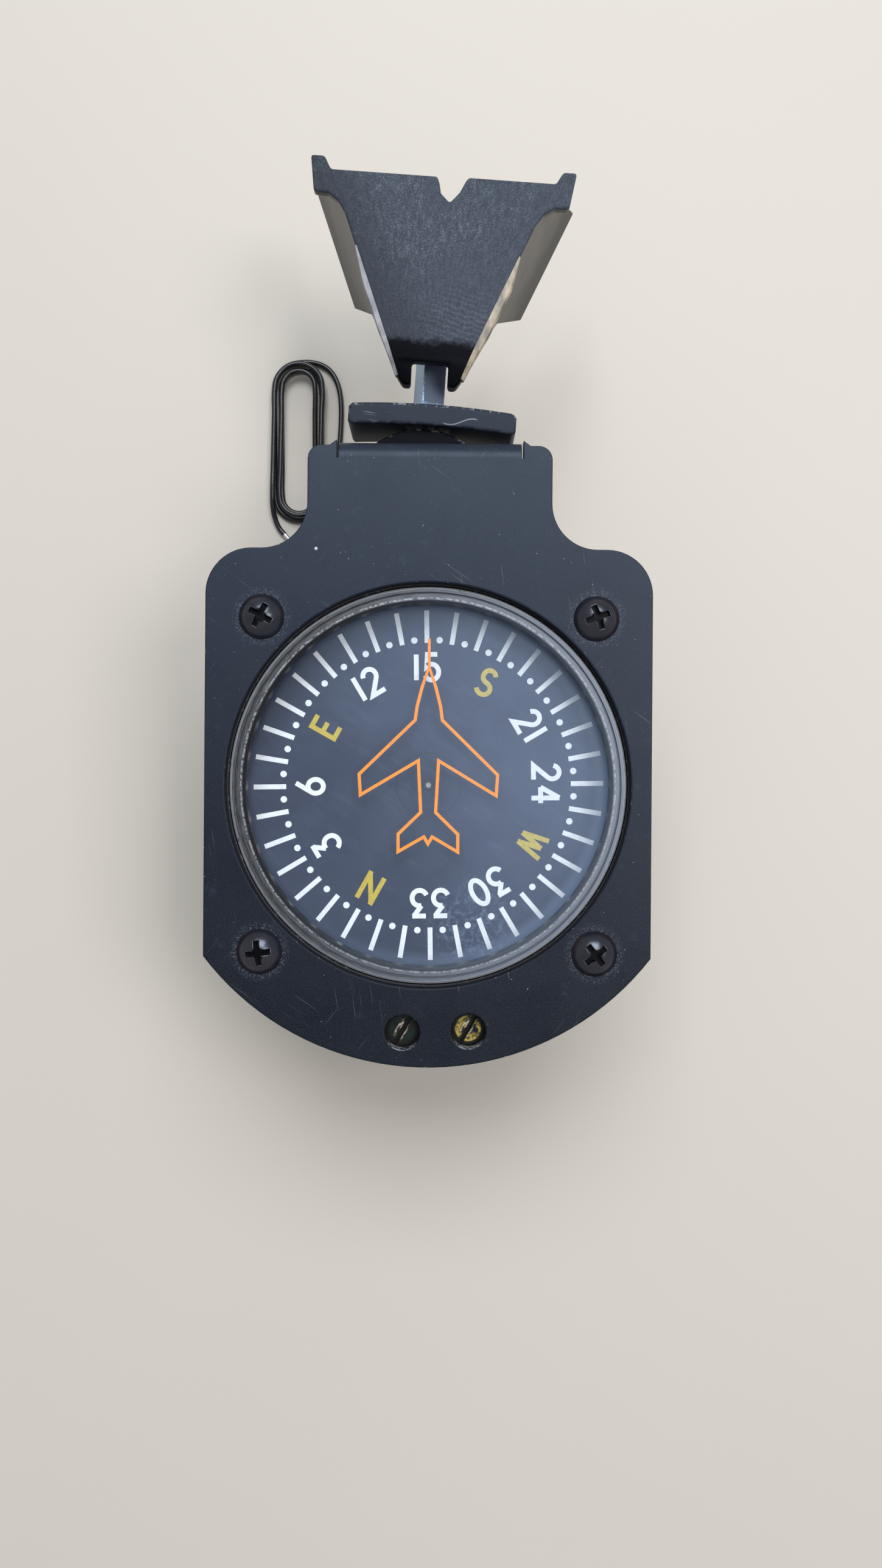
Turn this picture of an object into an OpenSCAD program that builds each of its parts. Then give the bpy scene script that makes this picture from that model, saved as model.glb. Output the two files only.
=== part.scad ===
// Vertical-card aircraft compass on its windshield bracket, lying on its back.
// The origin is on the dial axis, in the plane of the case back.
// +Z points out of the face and +Y points up the face, towards the bracket.

/* [Face plate] */
// Depth of the compass, from the case back to the front of the face plate
face_z = 52; // [48:0.5:64]
// Width of the face plate
plate_w = 84; // [80:0.5:102]
// Thickness of the face plate sheet
plate_t = 2.5; // [1.5:0.1:3.2]
// Radius of the round lower edge, about the dial axis
plate_r = 53; // [52.5:0.5:64]
// Height of the shoulders above the dial axis
shoulder_y = 44.4; // [42:0.2:48]
// Radius of the shoulder corners and of the fillets under the neck
shoulder_r = 8.6; // [4:0.2:9]
// Width of the neck
neck_w = 46; // [42:0.5:47]
// Height of the neck above the dial axis
neck_y = 63.8; // [62:0.2:72]
// Corner radius of the neck
neck_r = 2.6; // [1:0.1:4]
// Width of the bent-back tab on the neck
tab_w = 34.5; // [30:0.5:38]
// Depth of the tab behind the face
tab_depth = 24; // [20:0.5:30]
// Rise of the tab above the neck
tab_rise = 1.2; // [0.6:0.1:2]
// Inside radius of the tab bend
bend_r = 0.8; // [0.4:0.1:2]
// Width of the slits beside the tab bend
slit_w = 0.3; // [0.3:0.1:1.2]
// Run of the small sloped corners beside the tab bend
tab_ramp = 1.3; // [0.6:0.1:2]

/* [Face screws] */
// Spacing of the four face screws, both ways
screw_pitch = 62.87; // [62:0.01:70]
// Radius of the screw shanks
screw_r = 1.95; // [1.5:0.05:2.2]
// Radius of the domed screw heads
screw_head_r = 4.3; // [3.5:0.1:5]
// Height of the domed screw heads
screw_head_h = 2.6; // [1.8:0.1:3.2]
// Length of the shanks behind the face
screw_len = 13; // [11:0.5:18]
// Width of the cross recess
recess_w = 4.7; // [3:0.1:5]
// Depth of the cross recess
recess_depth = 1.5; // [0.8:0.1:1.8]
// Width of each arm of the cross recess
recess_arm = 1.1; // [0.7:0.1:1.4]
// Turn of each screw, from the upper right, anticlockwise
screw_turns = [20, 62, 8, 38];
// Width across the flats of the face nuts
nut_flats = 7.6; // [6:0.1:8]
// Thickness of the face nuts
nut_t = 3.2; // [2:0.1:4]

/* [Case] */
// Radius of the dial opening in the face plate
opening_r = 38.25; // [30:0.25:39]
// Wall of the case round the glass seat
seat_wall = 1.6; // [1.2:0.1:2]
// Wall of the case tube
case_wall = 2; // [1.6:0.1:3]
// Thickness of the front flange
flange_t = 4; // [3:0.1:5]
// Margin of the flange behind the edge of the face plate
flange_inset = 1; // [0.5:0.1:2]
// Metal round each face screw in the flange corners
lug_wall = 3.2; // [2.5:0.1:4]
// Distance of the long bosses inside the case wall
boss_in = 6; // [5:0.1:8]
// Radius of the long bosses
boss_r = 3.2; // [2.8:0.1:4]
// Thickness of the rear cover
cover_t = 3; // [2.5:0.1:4]
// Thickness of the rear gasket
rear_gasket_t = 0.5; // [0.3:0.1:1]
// Shank radius of the cover and bridge screws
small_screw_r = 1.4; // [1:0.05:1.6]
// Head radius of the cover and bridge screws
small_head_r = 2.6; // [2:0.1:3]
// Head height of the cover and bridge screws
small_head_h = 1.4; // [1:0.1:1.6]
// Length of the cover and bridge screws under the head
small_screw_len = 9; // [6:0.5:11]

/* [Glass and ring] */
// Dark gap between the ring and the face plate opening
ring_gap = 0.65; // [0.4:0.05:1]
// Width of the retaining ring
ring_w = 3; // [2.4:0.1:4]
// Thickness of the retaining ring
ring_t = 3.2; // [2.4:0.1:4]
// Depth of the ring front below the face
ring_set = 1.7; // [0.8:0.1:2.2]
// Width of the groove in the ring
groove_w = 0.4; // [0.3:0.05:0.6]
// Thickness of the glass
lens_t = 2; // [1.5:0.1:3]
// Thickness of the glass gasket
lens_gasket_t = 0.6; // [0.4:0.1:1]
// Thickness of the ledge that carries the glass
ledge_t = 1.2; // [0.8:0.1:1.6]
// Step of the ledge outside the ring's inner edge
ledge_step = 1.3; // [1:0.1:1.6]

/* [Card movement] */
// Gap between the ledge and the card
card_gap = 1.2; // [0.8:0.1:2]
// Thickness of the card
card_t = 0.8; // [0.5:0.1:1]
// Gap between the card rim and the case wall
card_rim_gap = 1; // [0.6:0.1:1.2]
// Distance of the bridge plate behind the card
bridge_gap = 6.3; // [5:0.1:8]
// Thickness of the bridge plate
bridge_t = 2; // [1.5:0.1:3]
// Width of the bridge bars
bridge_bar = 9; // [8:0.5:11]
// Radius of the card arbor and of the magnet spindle
arbor_r = 1; // [0.8:0.05:1.2]
// Outside radius of the arbor bushes
bush_r = 2.4; // [2:0.1:2.8]
// Length of each arbor bush
bush_len = 2.5; // [2:0.1:3]
// Length of the arbor tube on the bridge
arbor_tube = 10; // [8:0.5:11]
// Distance of the spindle axis behind the bridge plate
spindle_drop = 13; // [12.5:0.1:14]
// Half length of the magnet spindle between the frame arms
spindle_half = 22.8; // [21:0.1:24]
// Thickness of the frame arms
arm_t = 2.4; // [2:0.1:3]
// Radius of the pivots at the spindle ends
pivot_r = 0.45; // [0.3:0.05:0.6]
// Radius of the pivot jewels
jewel_r = 1.8; // [1.4:0.1:2.2]
// Teeth of each mitre gear
mitre_teeth = 16; // [12:2:20]
// Pitch radius of the mitre gears at the large end
mitre_r = 5; // [4.5:0.1:5.4]
// Radius of the mitre gear hubs
mitre_hub_r = 2.2; // [1.8:0.1:2.6]
// Radius of the compass magnet
magnet_r = 9; // [7:0.5:9.5]
// Length of the compass magnet along the spindle
magnet_len = 7; // [4:0.5:8]
// Gap between the magnet and the damping cup
cup_gap = 1.5; // [0.8:0.1:1.6]
// Wall of the damping cup
cup_wall = 1.2; // [0.8:0.1:1.4]
// Depth of the damping cup
cup_depth = 13.3; // [11:0.1:14]

/* [Compensator] */
// Place of the north-south screw on the face
ns_at = [-4.5, -46.4];
// Place of the east-west screw on the face
ew_at = [7.9, -46.1];
// Radius of the compensator holes in the face plate
comp_hole_r = 3.35; // [3:0.05:3.6]
// Radius of the slotted screw heads
comp_head_r = 2.9; // [2.4:0.1:3.1]
// Depth of the slotted heads below the face
comp_head_set = 2.4; // [2:0.1:2.6]
// Width of the screwdriver slots
comp_slot_w = 0.9; // [0.6:0.1:1.1]
// Turn of the screwdriver slots
comp_slot_turn = 60; // [0:5:180]
// Radius of the compensator shafts
comp_shaft_r = 1.2; // [1:0.05:1.4]
// Depth of the compensator box behind the face plate
comp_depth = 16; // [14:0.5:20]
// Wall of the compensator box
comp_wall = 1.2; // [1:0.1:1.4]
// Thickness of the compensator cover
comp_cover_t = 1.6; // [1.2:0.1:2]
// Teeth of each compensator gear
spur_teeth = 12; // [10:1:14]
// Pitch radius of the compensator gears
spur_r = 2.4; // [2.2:0.05:2.5]
// Thickness of the compensator gears
spur_t = 2.5; // [1.5:0.1:3]
// Length of each compensator magnet rod
rod_len = 4.4; // [3.6:0.1:4.5]
// Radius of each compensator magnet rod
rod_r = 0.8; // [0.6:0.05:0.9]

/* [Bracket] */
// Height of the roll axis above the dial axis
roll_y = 54; // [52:0.5:56]
// Sideways place of the bracket on the tab
bracket_x = -1.9; // [-3:0.1:2]
// Roll of the bracket as it was left, clockwise
roll_deg = 3.7; // [-7:0.1:7]
// Roll limit of the bracket, each way from straight
roll_limit = 8; // [7:0.5:9]
// Distance of the bracket axis behind the face
bracket_set = 11; // [10:0.5:13]
// Width of the saddle
saddle_w = 32.4; // [28:0.2:36]
// Thickness of the saddle
saddle_t = 4; // [3:0.1:5]
// Depth of the saddle, front to back
saddle_depth = 12; // [10:0.5:14]
// Radius of the arch of the saddle top
saddle_arch_r = 166; // [120:1:240]
// Sideways place of the saddle's middle from the post
saddle_off = 1.1; // [-1.5:0.1:1.5]
// Chamfer of the saddle ends
saddle_chamfer = 0.6; // [0.4:0.1:1.4]
// Height of the rocker pad above the tab
rocker_h = 4.1; // [3.4:0.1:5]
// Width of the rocker pad
rocker_w = 18; // [16:0.5:20]
// Depth of the rocker pad, front to back
rocker_depth = 8; // [7:0.5:12]
// Side of the square post
post_w = 4.6; // [4:0.05:4.8]
// Turn of the square post about its own axis
post_turn = 24; // [0:1:45]
// Distance of the shoe pivot above the saddle
post_run = 17.6; // [17:0.1:24]
// Radius of the round studs of the post
stud_r = 2; // [1.6:0.05:2.2]
// Radius of the barrel nut under the tab
barrel_nut_r = 4.5; // [4:0.1:5]
// Width of the cradle under the tab
cradle_w = 18; // [16:0.5:20]
// Radius of the cradle rivets
rivet_r = 1.2; // [0.8:0.1:1.4]
// Radius of the cross barrel in the shoe
barrel_r = 3.6; // [3.2:0.1:4]
// Radius of the cross barrel trunnions
trunnion_r = 2; // [1.5:0.1:2.4]

/* [Windshield shoe] */
// Depth of the shoe front behind the compass face
shoe_set = 2; // [1:0.1:3]
// Wall of the shoe
shoe_t = 2; // [1.4:0.1:2.4]
// Half width of the shoe across the ears
ear_x = 25.3; // [23:0.1:30]
// Height of the ears above the shoe pivot
ear_rise = 27; // [25.5:0.1:32]
// Height of the top edge above the shoe pivot
top_rise = 24.6; // [23:0.1:25]
// Height of the brow's lower edge above the shoe pivot
brow_rise = 20.1; // [19:0.1:21]
// Half width of the front where the slanted sides start
side_x = 18.2; // [16:0.1:20]
// Height where the slanted sides start, above the shoe pivot
side_rise = 16.6; // [15:0.1:18]
// Half width of the front where the lip starts to curve back
lip_x = 8.8; // [8.4:0.1:10]
// Drop of the start of the lip below the shoe pivot
lip_drop = 6.5; // [6:0.1:8]
// Drop of the end of the lip below the shoe pivot
lip_end_drop = 14.2; // [13:0.1:16]
// Outside radius of the curved lip
lip_r = 12; // [11:0.1:14]
// Depth of the side wings at the top
wing_depth = 25; // [18:0.5:30]
// Height of the upper rear corner of the wings above the shoe pivot
wing_rear_rise = 33.5; // [28:0.5:38]
// Height of the lower rear corner of the wings above the shoe pivot
wing_corner_rise = 10; // [7:0.5:14]
// Depth of the wings where their lower edge bends
wing_mid_depth = 8; // [6:0.5:12]
// Height of that bend above the shoe pivot
wing_mid_rise = 1; // [0:0.5:4]
// Depth of the wings at the lip
wing_low_depth = 3; // [2.5:0.5:6]
// Outward flare of the side wings
wing_flare = 6; // [0:0.5:10]
// Gap between the two pivot lugs
lug_gap = 10.4; // [9.6:0.1:11]
// Thickness of the pivot lugs
lug_t = 2.2; // [1.6:0.1:2.6]

/* [Lamp and lead] */
// Direction of the lamp gland round the case wall
gland_turn = 112; // [105:1:118]
// Height of the lamp gland above the case back
gland_z = 7.5; // [7:0.1:9]
// Radius of the gland's neck in the case wall
gland_r = 2; // [1.6:0.1:2.4]
// Radius of the lamp socket
socket_r = 3; // [2.6:0.1:3.2]
// Length of the lamp socket
socket_len = 7; // [5:0.5:9]
// Radius of the lamp bulb
bulb_r = 1.5; // [1.2:0.1:2]
// Diameter of the lead
lead_d = 1.2; // [1:0.05:1.25]
// Inside bend radius of the hank, to the middle of the lead
hank_in = 3.6; // [3.6:0.1:4]
// Sideways step from one turn of the hank to the next
hank_pitch = 1.7; // [1.7:0.05:1.9]
// Height step from one layer of the hank to the next
hank_layer = 1.7; // [1.7:0.05:2]
// Length of the straight runs of the hank
hank_run = 25.2; // [20:0.2:28]
// Length of the tinned tip of the lead
tip_len = 2.4; // [1.5:0.1:4]

/* [Hidden] */
$fn = 64;
// Clearance of shafts and pins in their holes
fit = 0.04;
// Clearance of screws in plain holes
screw_fit = 0.25;
// Clearance between pieces that slide past each other
slide = 0.3;
// Length by which cuts run past the faces that they open
over = 1;
// Flank angle of gear teeth, and play of each tooth
flank = 20;
tooth_play = 0.16;

// Levels of the face plate, glass and movement, front to back
plate_back = face_z - plate_t;
ring_front = face_z - ring_set;
lens_front = ring_front - ring_t;
lens_back = lens_front - lens_t;
ledge_front = lens_back - lens_gasket_t;
ledge_back = ledge_front - ledge_t;
card_front = ledge_back - card_gap;
card_back = card_front - card_t;
bridge_front = card_back - bridge_gap;
bridge_back = bridge_front - bridge_t;
spindle_z = bridge_back - spindle_drop;
case_rear = cover_t + rear_gasket_t;
flange_back = plate_back - flange_t;

// Radii of the case, glass and card
ring_r = opening_r - ring_gap;
ring_in = ring_r - ring_w;
seat_r = ring_r + slide;
case_r = seat_r + seat_wall;
case_bore = case_r - case_wall;
ledge_in = ring_in + ledge_step;
card_r = case_bore - card_rim_gap;
bridge_r = ledge_in - slide;
boss_at = case_bore - boss_in;
boss_turns = [45, 135, 225, 315];

// Face plate places
half_w = plate_w / 2;
tab_y = neck_y + tab_rise;
bend_out = bend_r + plate_t;
bend_y = tab_y - bend_out;
bend_z = face_z - bend_out;
slit_y = bend_y - slit_w;
lug_r = screw_r + screw_fit + lug_wall;
corner_signs = [[1, 1], [-1, 1], [-1, -1], [1, -1]];

// Card arbor and mitre gears, measured from the crossing of their axes
hub_flange_r = 4;
hub_flange_t = 1.5;
arbor_tube_front = card_back - hub_flange_t - slide;
arbor_tube_back = arbor_tube_front - arbor_tube;
arbor_tip = 0.3;
mitre_scale = 0.68;
mitre_add = 0.4;
mitre_ded = 0.6;
mitre_back = mitre_r + 0.9;
mitre_hub_end = arbor_tube_back - slide - spindle_z;
magnet_y = -spindle_half + cup_wall + 3.6;

// Compensator levels and places
comp_back = plate_back - comp_depth;
comp_edge_r = plate_r - 1.5;
comp_side = 10;
comp_top_y = -case_r - 2.8;
comp_front_wall = 3;
idler_pivot = 0.7;
comp_cavity_front = plate_back - comp_front_wall;
collar_r = comp_head_r + 1;
collar_t = 1.3;
collar_front = plate_back - slide;
spur_gap = 2 * spur_r + 0.1;
spur_add = 0.32;
spur_ded = 0.5;
spur_front = comp_cavity_front - 3.5;
rod_z = comp_back + 3.5;
comp_hub_r = 1.7;
ns_mesh = 170;
ew_mesh = 8;
ns_idler_at = ns_at + spur_gap * [cos(ns_mesh), sin(ns_mesh)];
ew_idler_at = ew_at + spur_gap * [cos(ew_mesh), sin(ew_mesh)];
comp_screw_at = (ns_at + ew_at) / 2;
comp_boss_r = 2.2;
comp_screw_r = 1;

// Bracket places, in the frame of the unrolled bracket
bracket_z = face_z - bracket_set;
rocker_r = tab_y + rocker_h - roll_y;
saddle_under = rocker_r + slide + roll_y;
saddle_top = saddle_under + saddle_t;
shoe_v = saddle_top + post_run;
shoe_front = face_z - shoe_set;
stud_slot = 2 * (stud_r + rocker_r * sin(roll_limit) + slide);
stud_slot_z = 2 * (stud_r + slide);
stud_below = 1.5;
rivet_x = (stud_slot / 2 + cradle_w / 2) / 2;
rivet_head_r = rivet_r + 0.8;
rivet_head_h = 0.8;
collar_h = 1.2;
collar_foot_r = 4.2;
collar_top_r = 3.1;
swivel_flats = 7;
swivel_nut_t = 3.2;
lug_reach = 4.6;
lip_slot_play = 0.25;
lip_slot = 2 * (post_w * sqrt(2) / 2 + lip_slot_play);
lip_slot_drop = lip_drop + 4;
lip_corner = 1.1;

// Lamp gland and lead
gland_dir = [cos(gland_turn), sin(gland_turn), 0];
gland_flange_r = gland_r + 1;
gland_flange_t = 1.2;
gland_nose = 1.8;
gland_nose_r = 1.5;
gland_inside = 1.5;
gland_seat = case_r + 0.1;
gland_end = (gland_seat + gland_flange_t + gland_nose) * gland_dir + [0, 0, gland_z];
lead_z = lead_d / 2 + 0.05;
tip_r = 0.54;
tube_sides = 6;
hank_at = [-31.2, 80];
loop_arc_steps = 8;
loop_run_steps = 4;
measure_steps = 12;

// Path of the hank: quarter steps are a run up, the top, a run down and the bottom, in turn.
// It spirals in from the top of the outer run, climbs along one run and spirals out again.
hank_first = 1.5;
hank_climb = 8;
hank_last = 15;
function hank_r(p) = hank_in + hank_pitch / 4 * (p < hank_climb ? hank_climb - p : max(0, p - hank_climb - 1));
function hank_h(p) = lead_z + hank_layer * min(1, max(0, p - hank_climb));
function hank_turn(p, r, f, q) =
    q == 0 ? [r, hank_run * (f - 0.5)] :
    q == 1 ? [r * cos(180 * f), hank_run / 2 + r * sin(180 * f)] :
    q == 2 ? [-r, hank_run * (0.5 - f)] :
    [-r * cos(180 * f), -hank_run / 2 - r * sin(180 * f)];
function hank_point(p) =
    let (xy = hank_at + hank_turn(p, hank_r(p), p - floor(p), floor(p) % 4))
    [xy[0], xy[1], hank_h(p)];
function loop_steps(s) = s % 2 == 1 ? loop_arc_steps : loop_run_steps;
hank_start = hank_point(hank_first) + [lead_d, 0, 0];
hank_turns = [for (s = [floor(hank_first) : hank_last - 1]) for (i = [0 : loop_steps(s) - 1])
    let (p = s + i / loop_steps(s)) if (p >= hank_first) hank_point(p)];
hank_tail = [[-37.3, 64.6, 1.8], [-36.8, 62, 1], [-35.9, 60, lead_z], [-34.7, 58.6, lead_z]];
hank_route = concat([hank_start], hank_turns, [hank_point(hank_last)], hank_tail);
tail_dir = unit(hank_tail[3] - hank_tail[2]);

// Route of the lead from the gland, down to the table and up beside the hank
stretch_route = concat(
    [gland_end, gland_end + 1.5 * gland_dir],
    [[-17.6, 44, 6.2], [-18.8, 47.2, 3.6], [-19.8, 50, 1.6], [-20.8, 53, lead_z], [-21.6, 57, lead_z],
     [-22.1, 61, lead_z], [-22.4, 65, lead_z], [-22.5, 69, lead_z], [-22.4, 73, lead_z], [-22.1, 77, lead_z],
     [-21.8, 81, lead_z], [-21.6, 85, lead_z], [-21.6, 88.6, lead_z], [-21.9, 91.8, lead_z], [-22.7, 94.6, lead_z],
     [-24.1, 96.9, lead_z], [-26, 98.3, lead_z], [-28, 98.9, lead_z]],
    [hank_start]);

// Least clear distance between one turn of the hank and the next
hank_samples = [for (i = [0 : (hank_last - hank_first) * measure_steps])
    hank_point(hank_first + i / measure_steps)];
hank_gap = min([for (i = [0 : len(hank_samples) - 1]) for (j = [i + 2 * measure_steps : 1 : len(hank_samples) - 1])
    norm(hank_samples[i] - hank_samples[j])]) - lead_d;
echo(hank_least_gap_mm = hank_gap);

function unit(v) = v / norm(v);

// Rings of a round tube swept along a route, and the triangles that close it
function route_dir(route, i) = unit(route[min(i + 1, len(route) - 1)] - route[max(i - 1, 0)]);
function tube_ring(route, i, d) =
    let (t = route_dir(route, i), side = unit(cross([0, 0, 1], t)), rise = cross(t, side))
    [for (k = [0 : tube_sides - 1])
        route[i] + d / 2 * (cos(360 * k / tube_sides) * side + sin(360 * k / tube_sides) * rise)];
module swept_tube(route, d) {
    n = len(route);
    points = [for (i = [0 : n - 1]) each tube_ring(route, i, d)];
    walls = [for (i = [0 : n - 2]) for (k = [0 : tube_sides - 1])
        let (a = i * tube_sides + k, b = i * tube_sides + (k + 1) % tube_sides)
        each [[a, a + tube_sides, b + tube_sides], [a, b + tube_sides, b]]];
    last = (n - 1) * tube_sides;
    ends = [for (k = [1 : tube_sides - 2]) each [[0, k, k + 1], [last, last + k + 1, last + k]]];
    polyhedron(points, concat(walls, ends));
}

// Shapes that repeat
module tube(outer, inner, h) {
    difference() {
        cylinder(r = outer, h = h);
        translate([0, 0, -over]) cylinder(r = inner, h = h + 2 * over);
    }
}
module block(low, high) {
    translate(low) cube(high - low);
}
module at_corners() {
    for (i = [0 : 3])
        translate([corner_signs[i][0] * screw_pitch / 2, corner_signs[i][1] * screw_pitch / 2, 0])
            rotate(screw_turns[i]) children();
}
module at_bosses() {
    for (a = boss_turns) rotate(a) translate([boss_at, 0, 0]) children();
}
module along_gland(from) {
    translate(from * gland_dir + [0, 0, gland_z]) rotate([0, 90, gland_turn]) children();
}
module on_bracket() {
    translate([bracket_x, roll_y, 0]) rotate(-roll_deg) translate([0, -roll_y, 0]) children();
}
module small_screw() {
    difference() {
        union() {
            cylinder(r = small_head_r, h = small_head_h);
            translate([0, 0, -small_screw_len]) cylinder(r = small_screw_r, h = small_screw_len);
        }
        translate([-small_head_r - over, -recess_arm / 2, small_head_h / 2])
            cube([2 * (small_head_r + over), recess_arm, small_head_h]);
    }
}
module hex_nut(flats, bore, t) {
    difference() {
        cylinder(r = flats / sqrt(3), h = t, $fn = 6);
        translate([0, 0, -over]) cylinder(r = bore, h = t + 2 * over);
    }
}

// Toothed shapes: half width of a tooth at a height above its pitch line
function tooth_half(pitch_r, teeth, rise) = PI * pitch_r / teeth / 2 - tooth_play / 2 - rise * tan(flank);
function tooth_turn(q, half, r) = (q < 2 ? -1 : 1) * half / r * 180 / PI;
function tooth_rise(q, add, ded) = q == 1 || q == 2 ? add : -ded;
module spur_gear() {
    corners = [for (j = [0 : spur_teeth - 1]) for (q = [0 : 3])
        let (rise = tooth_rise(q, spur_add, spur_ded), r = spur_r + rise,
             a = 360 * j / spur_teeth + tooth_turn(q, tooth_half(spur_r, spur_teeth, rise), r))
        r * [cos(a), sin(a)]];
    linear_extrude(spur_t) polygon(corners);
}
function mitre_ring(scale_by) = [for (j = [0 : mitre_teeth - 1]) for (q = [0 : 3])
    let (rise = tooth_rise(q, mitre_add, mitre_ded),
         r = mitre_r + rise * sin(45),
         a = 360 * j / mitre_teeth + tooth_turn(q, tooth_half(mitre_r, mitre_teeth, rise), mitre_r))
    scale_by * [r * cos(a), r * sin(a), mitre_r - rise * sin(45)]];
module mitre_gear(bore) {
    n = 4 * mitre_teeth;
    points = concat(mitre_ring(1), mitre_ring(mitre_scale),
        [[0, 0, mitre_back], [0, 0, mitre_scale * mitre_r]]);
    faces = [for (i = [0 : n - 1])
        let (k = (i + 1) % n)
        each [[i, k, n + k], [i, n + k, n + i], [2 * n, k, i], [2 * n + 1, n + i, n + k]]];
    difference() {
        union() {
            polyhedron(points, faces);
            translate([0, 0, mitre_r]) cylinder(r = mitre_hub_r, h = mitre_hub_end - mitre_r);
        }
        cylinder(r = bore, h = mitre_hub_end + over);
    }
}

// Face plate and its screws
module plate_outline() {
    difference() {
        union() {
            intersection() {
                circle(r = plate_r);
                translate([-half_w, -plate_r - over]) square([plate_w, plate_r + over]);
            }
            translate([-half_w, -over]) square([plate_w, shoulder_y - shoulder_r + over]);
            translate([shoulder_r - half_w, 0]) square([plate_w - 2 * shoulder_r, shoulder_y]);
            for (s = [-1, 1]) {
                translate([s * (half_w - shoulder_r), shoulder_y - shoulder_r]) circle(r = shoulder_r);
                neck_fillet(s);
            }
            translate([-neck_w / 2, 0]) square([neck_w, neck_y - neck_r]);
            translate([neck_r - neck_w / 2, 0]) square([neck_w - 2 * neck_r, neck_y]);
            for (s = [-1, 1]) translate([s * (neck_w / 2 - neck_r), neck_y - neck_r]) circle(r = neck_r);
            for (s = [0, 1]) mirror([s, 0]) translate([tab_w / 2 + slit_w, neck_y])
                polygon([[0, -over], [tab_ramp, -over], [tab_ramp, 0], [0, tab_rise * 0.8]]);
        }
        translate([-tab_w / 2, bend_y]) square([tab_w, neck_y]);
        for (s = [-1, 1])
            translate([s * (tab_w + slit_w) / 2 - slit_w / 2, slit_y]) square([slit_w, neck_y]);
    }
}
module neck_fillet(s) {
    difference() {
        translate([s * (neck_w + shoulder_r) / 2 - shoulder_r / 2, shoulder_y - over])
            square([shoulder_r, shoulder_r + over]);
        translate([s * (neck_w / 2 + shoulder_r), shoulder_y + shoulder_r]) circle(r = shoulder_r);
    }
}
module tab_bend() {
    intersection() {
        translate([-tab_w / 2, bend_y, bend_z]) rotate([0, 90, 0]) tube(bend_out, bend_r, tab_w);
        block([-tab_w, bend_y, bend_z], [tab_w, tab_y + over, face_z + over]);
    }
    block([-tab_w / 2, tab_y - plate_t, face_z - tab_depth], [tab_w / 2, tab_y, bend_z]);
}
module stud_slot_cut(from_y, to_y) {
    block([bracket_x - stud_slot / 2, from_y, bracket_z - stud_slot_z / 2],
          [bracket_x + stud_slot / 2, to_y, bracket_z + stud_slot_z / 2]);
}
module rivet_holes(from_y, to_y) {
    for (s = [-1, 1])
        translate([bracket_x + s * rivet_x, from_y, bracket_z]) rotate([-90, 0, 0])
            cylinder(r = rivet_r + fit, h = to_y - from_y);
}
module bezel_plate() {
    color("#1b1d22") difference() {
        union() {
            translate([0, 0, plate_back]) linear_extrude(plate_t) plate_outline();
            tab_bend();
        }
        translate([0, 0, plate_back - over]) cylinder(r = opening_r, h = plate_t + 2 * over, $fn = 128);
        at_corners() translate([0, 0, plate_back - over])
            cylinder(r = screw_r + screw_fit, h = plate_t + 2 * over);
        for (at = [ns_at, ew_at]) translate([at[0], at[1], plate_back - over])
            cylinder(r = comp_hole_r, h = plate_t + 2 * over);
        stud_slot_cut(tab_y - plate_t - over, tab_y + over);
        rivet_holes(tab_y - plate_t - over, tab_y + over);
    }
}
module face_screw() {
    dome_r = (screw_head_r * screw_head_r + screw_head_h * screw_head_h) / (2 * screw_head_h);
    difference() {
        union() {
            intersection() {
                translate([0, 0, screw_head_h - dome_r]) sphere(r = dome_r);
                cylinder(r = screw_head_r, h = screw_head_h + over);
            }
            translate([0, 0, -screw_len]) cylinder(r = screw_r, h = screw_len + over);
        }
        for (a = [0, 90]) rotate(a)
            translate([-recess_w / 2, -recess_arm / 2, screw_head_h - recess_depth])
                cube([recess_w, recess_arm, recess_depth + over]);
    }
}
module face_screws() {
    color("#2a2222") at_corners() translate([0, 0, face_z]) face_screw();
}
module face_nuts() {
    color("#55565a") at_corners() translate([0, 0, flange_back - nut_t])
        hex_nut(nut_flats, screw_r + fit, nut_t);
}

// Case, rear cover and seals
module comp_block(edge_r, side, top_y, low_z, high_z) {
    intersection() {
        translate([0, 0, low_z]) cylinder(r = edge_r, h = high_z - low_z);
        block([ns_at[0] - side, -edge_r - over, low_z], [ew_at[0] + side, top_y, high_z]);
    }
}
module case_shell() {
    difference() {
        union() {
            translate([0, 0, case_rear]) cylinder(r = case_r, h = plate_back - case_rear);
            intersection() {
                block([flange_inset - half_w, flange_inset - half_w, flange_back],
                      [half_w - flange_inset, half_w - flange_inset, plate_back]);
                translate([0, 0, flange_back]) cylinder(r = screw_pitch / sqrt(2) + lug_r, h = flange_t);
            }
            comp_block(comp_edge_r, comp_side, over - case_r, comp_back, plate_back);
        }
        translate([0, 0, case_rear - over]) cylinder(r = case_bore, h = ledge_back - case_rear + over);
        translate([0, 0, ledge_back - over]) cylinder(r = ledge_in, h = plate_back);
        translate([0, 0, ledge_front]) cylinder(r = seat_r, h = plate_back);
    }
}
module comp_cavity() {
    difference() {
        comp_block(comp_edge_r - comp_wall, comp_side - comp_wall, comp_top_y,
                   comp_back - over, comp_cavity_front);
        translate([comp_screw_at[0], comp_screw_at[1], comp_back - 2 * over])
            cylinder(r = comp_boss_r, h = comp_depth);
    }
}
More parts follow.
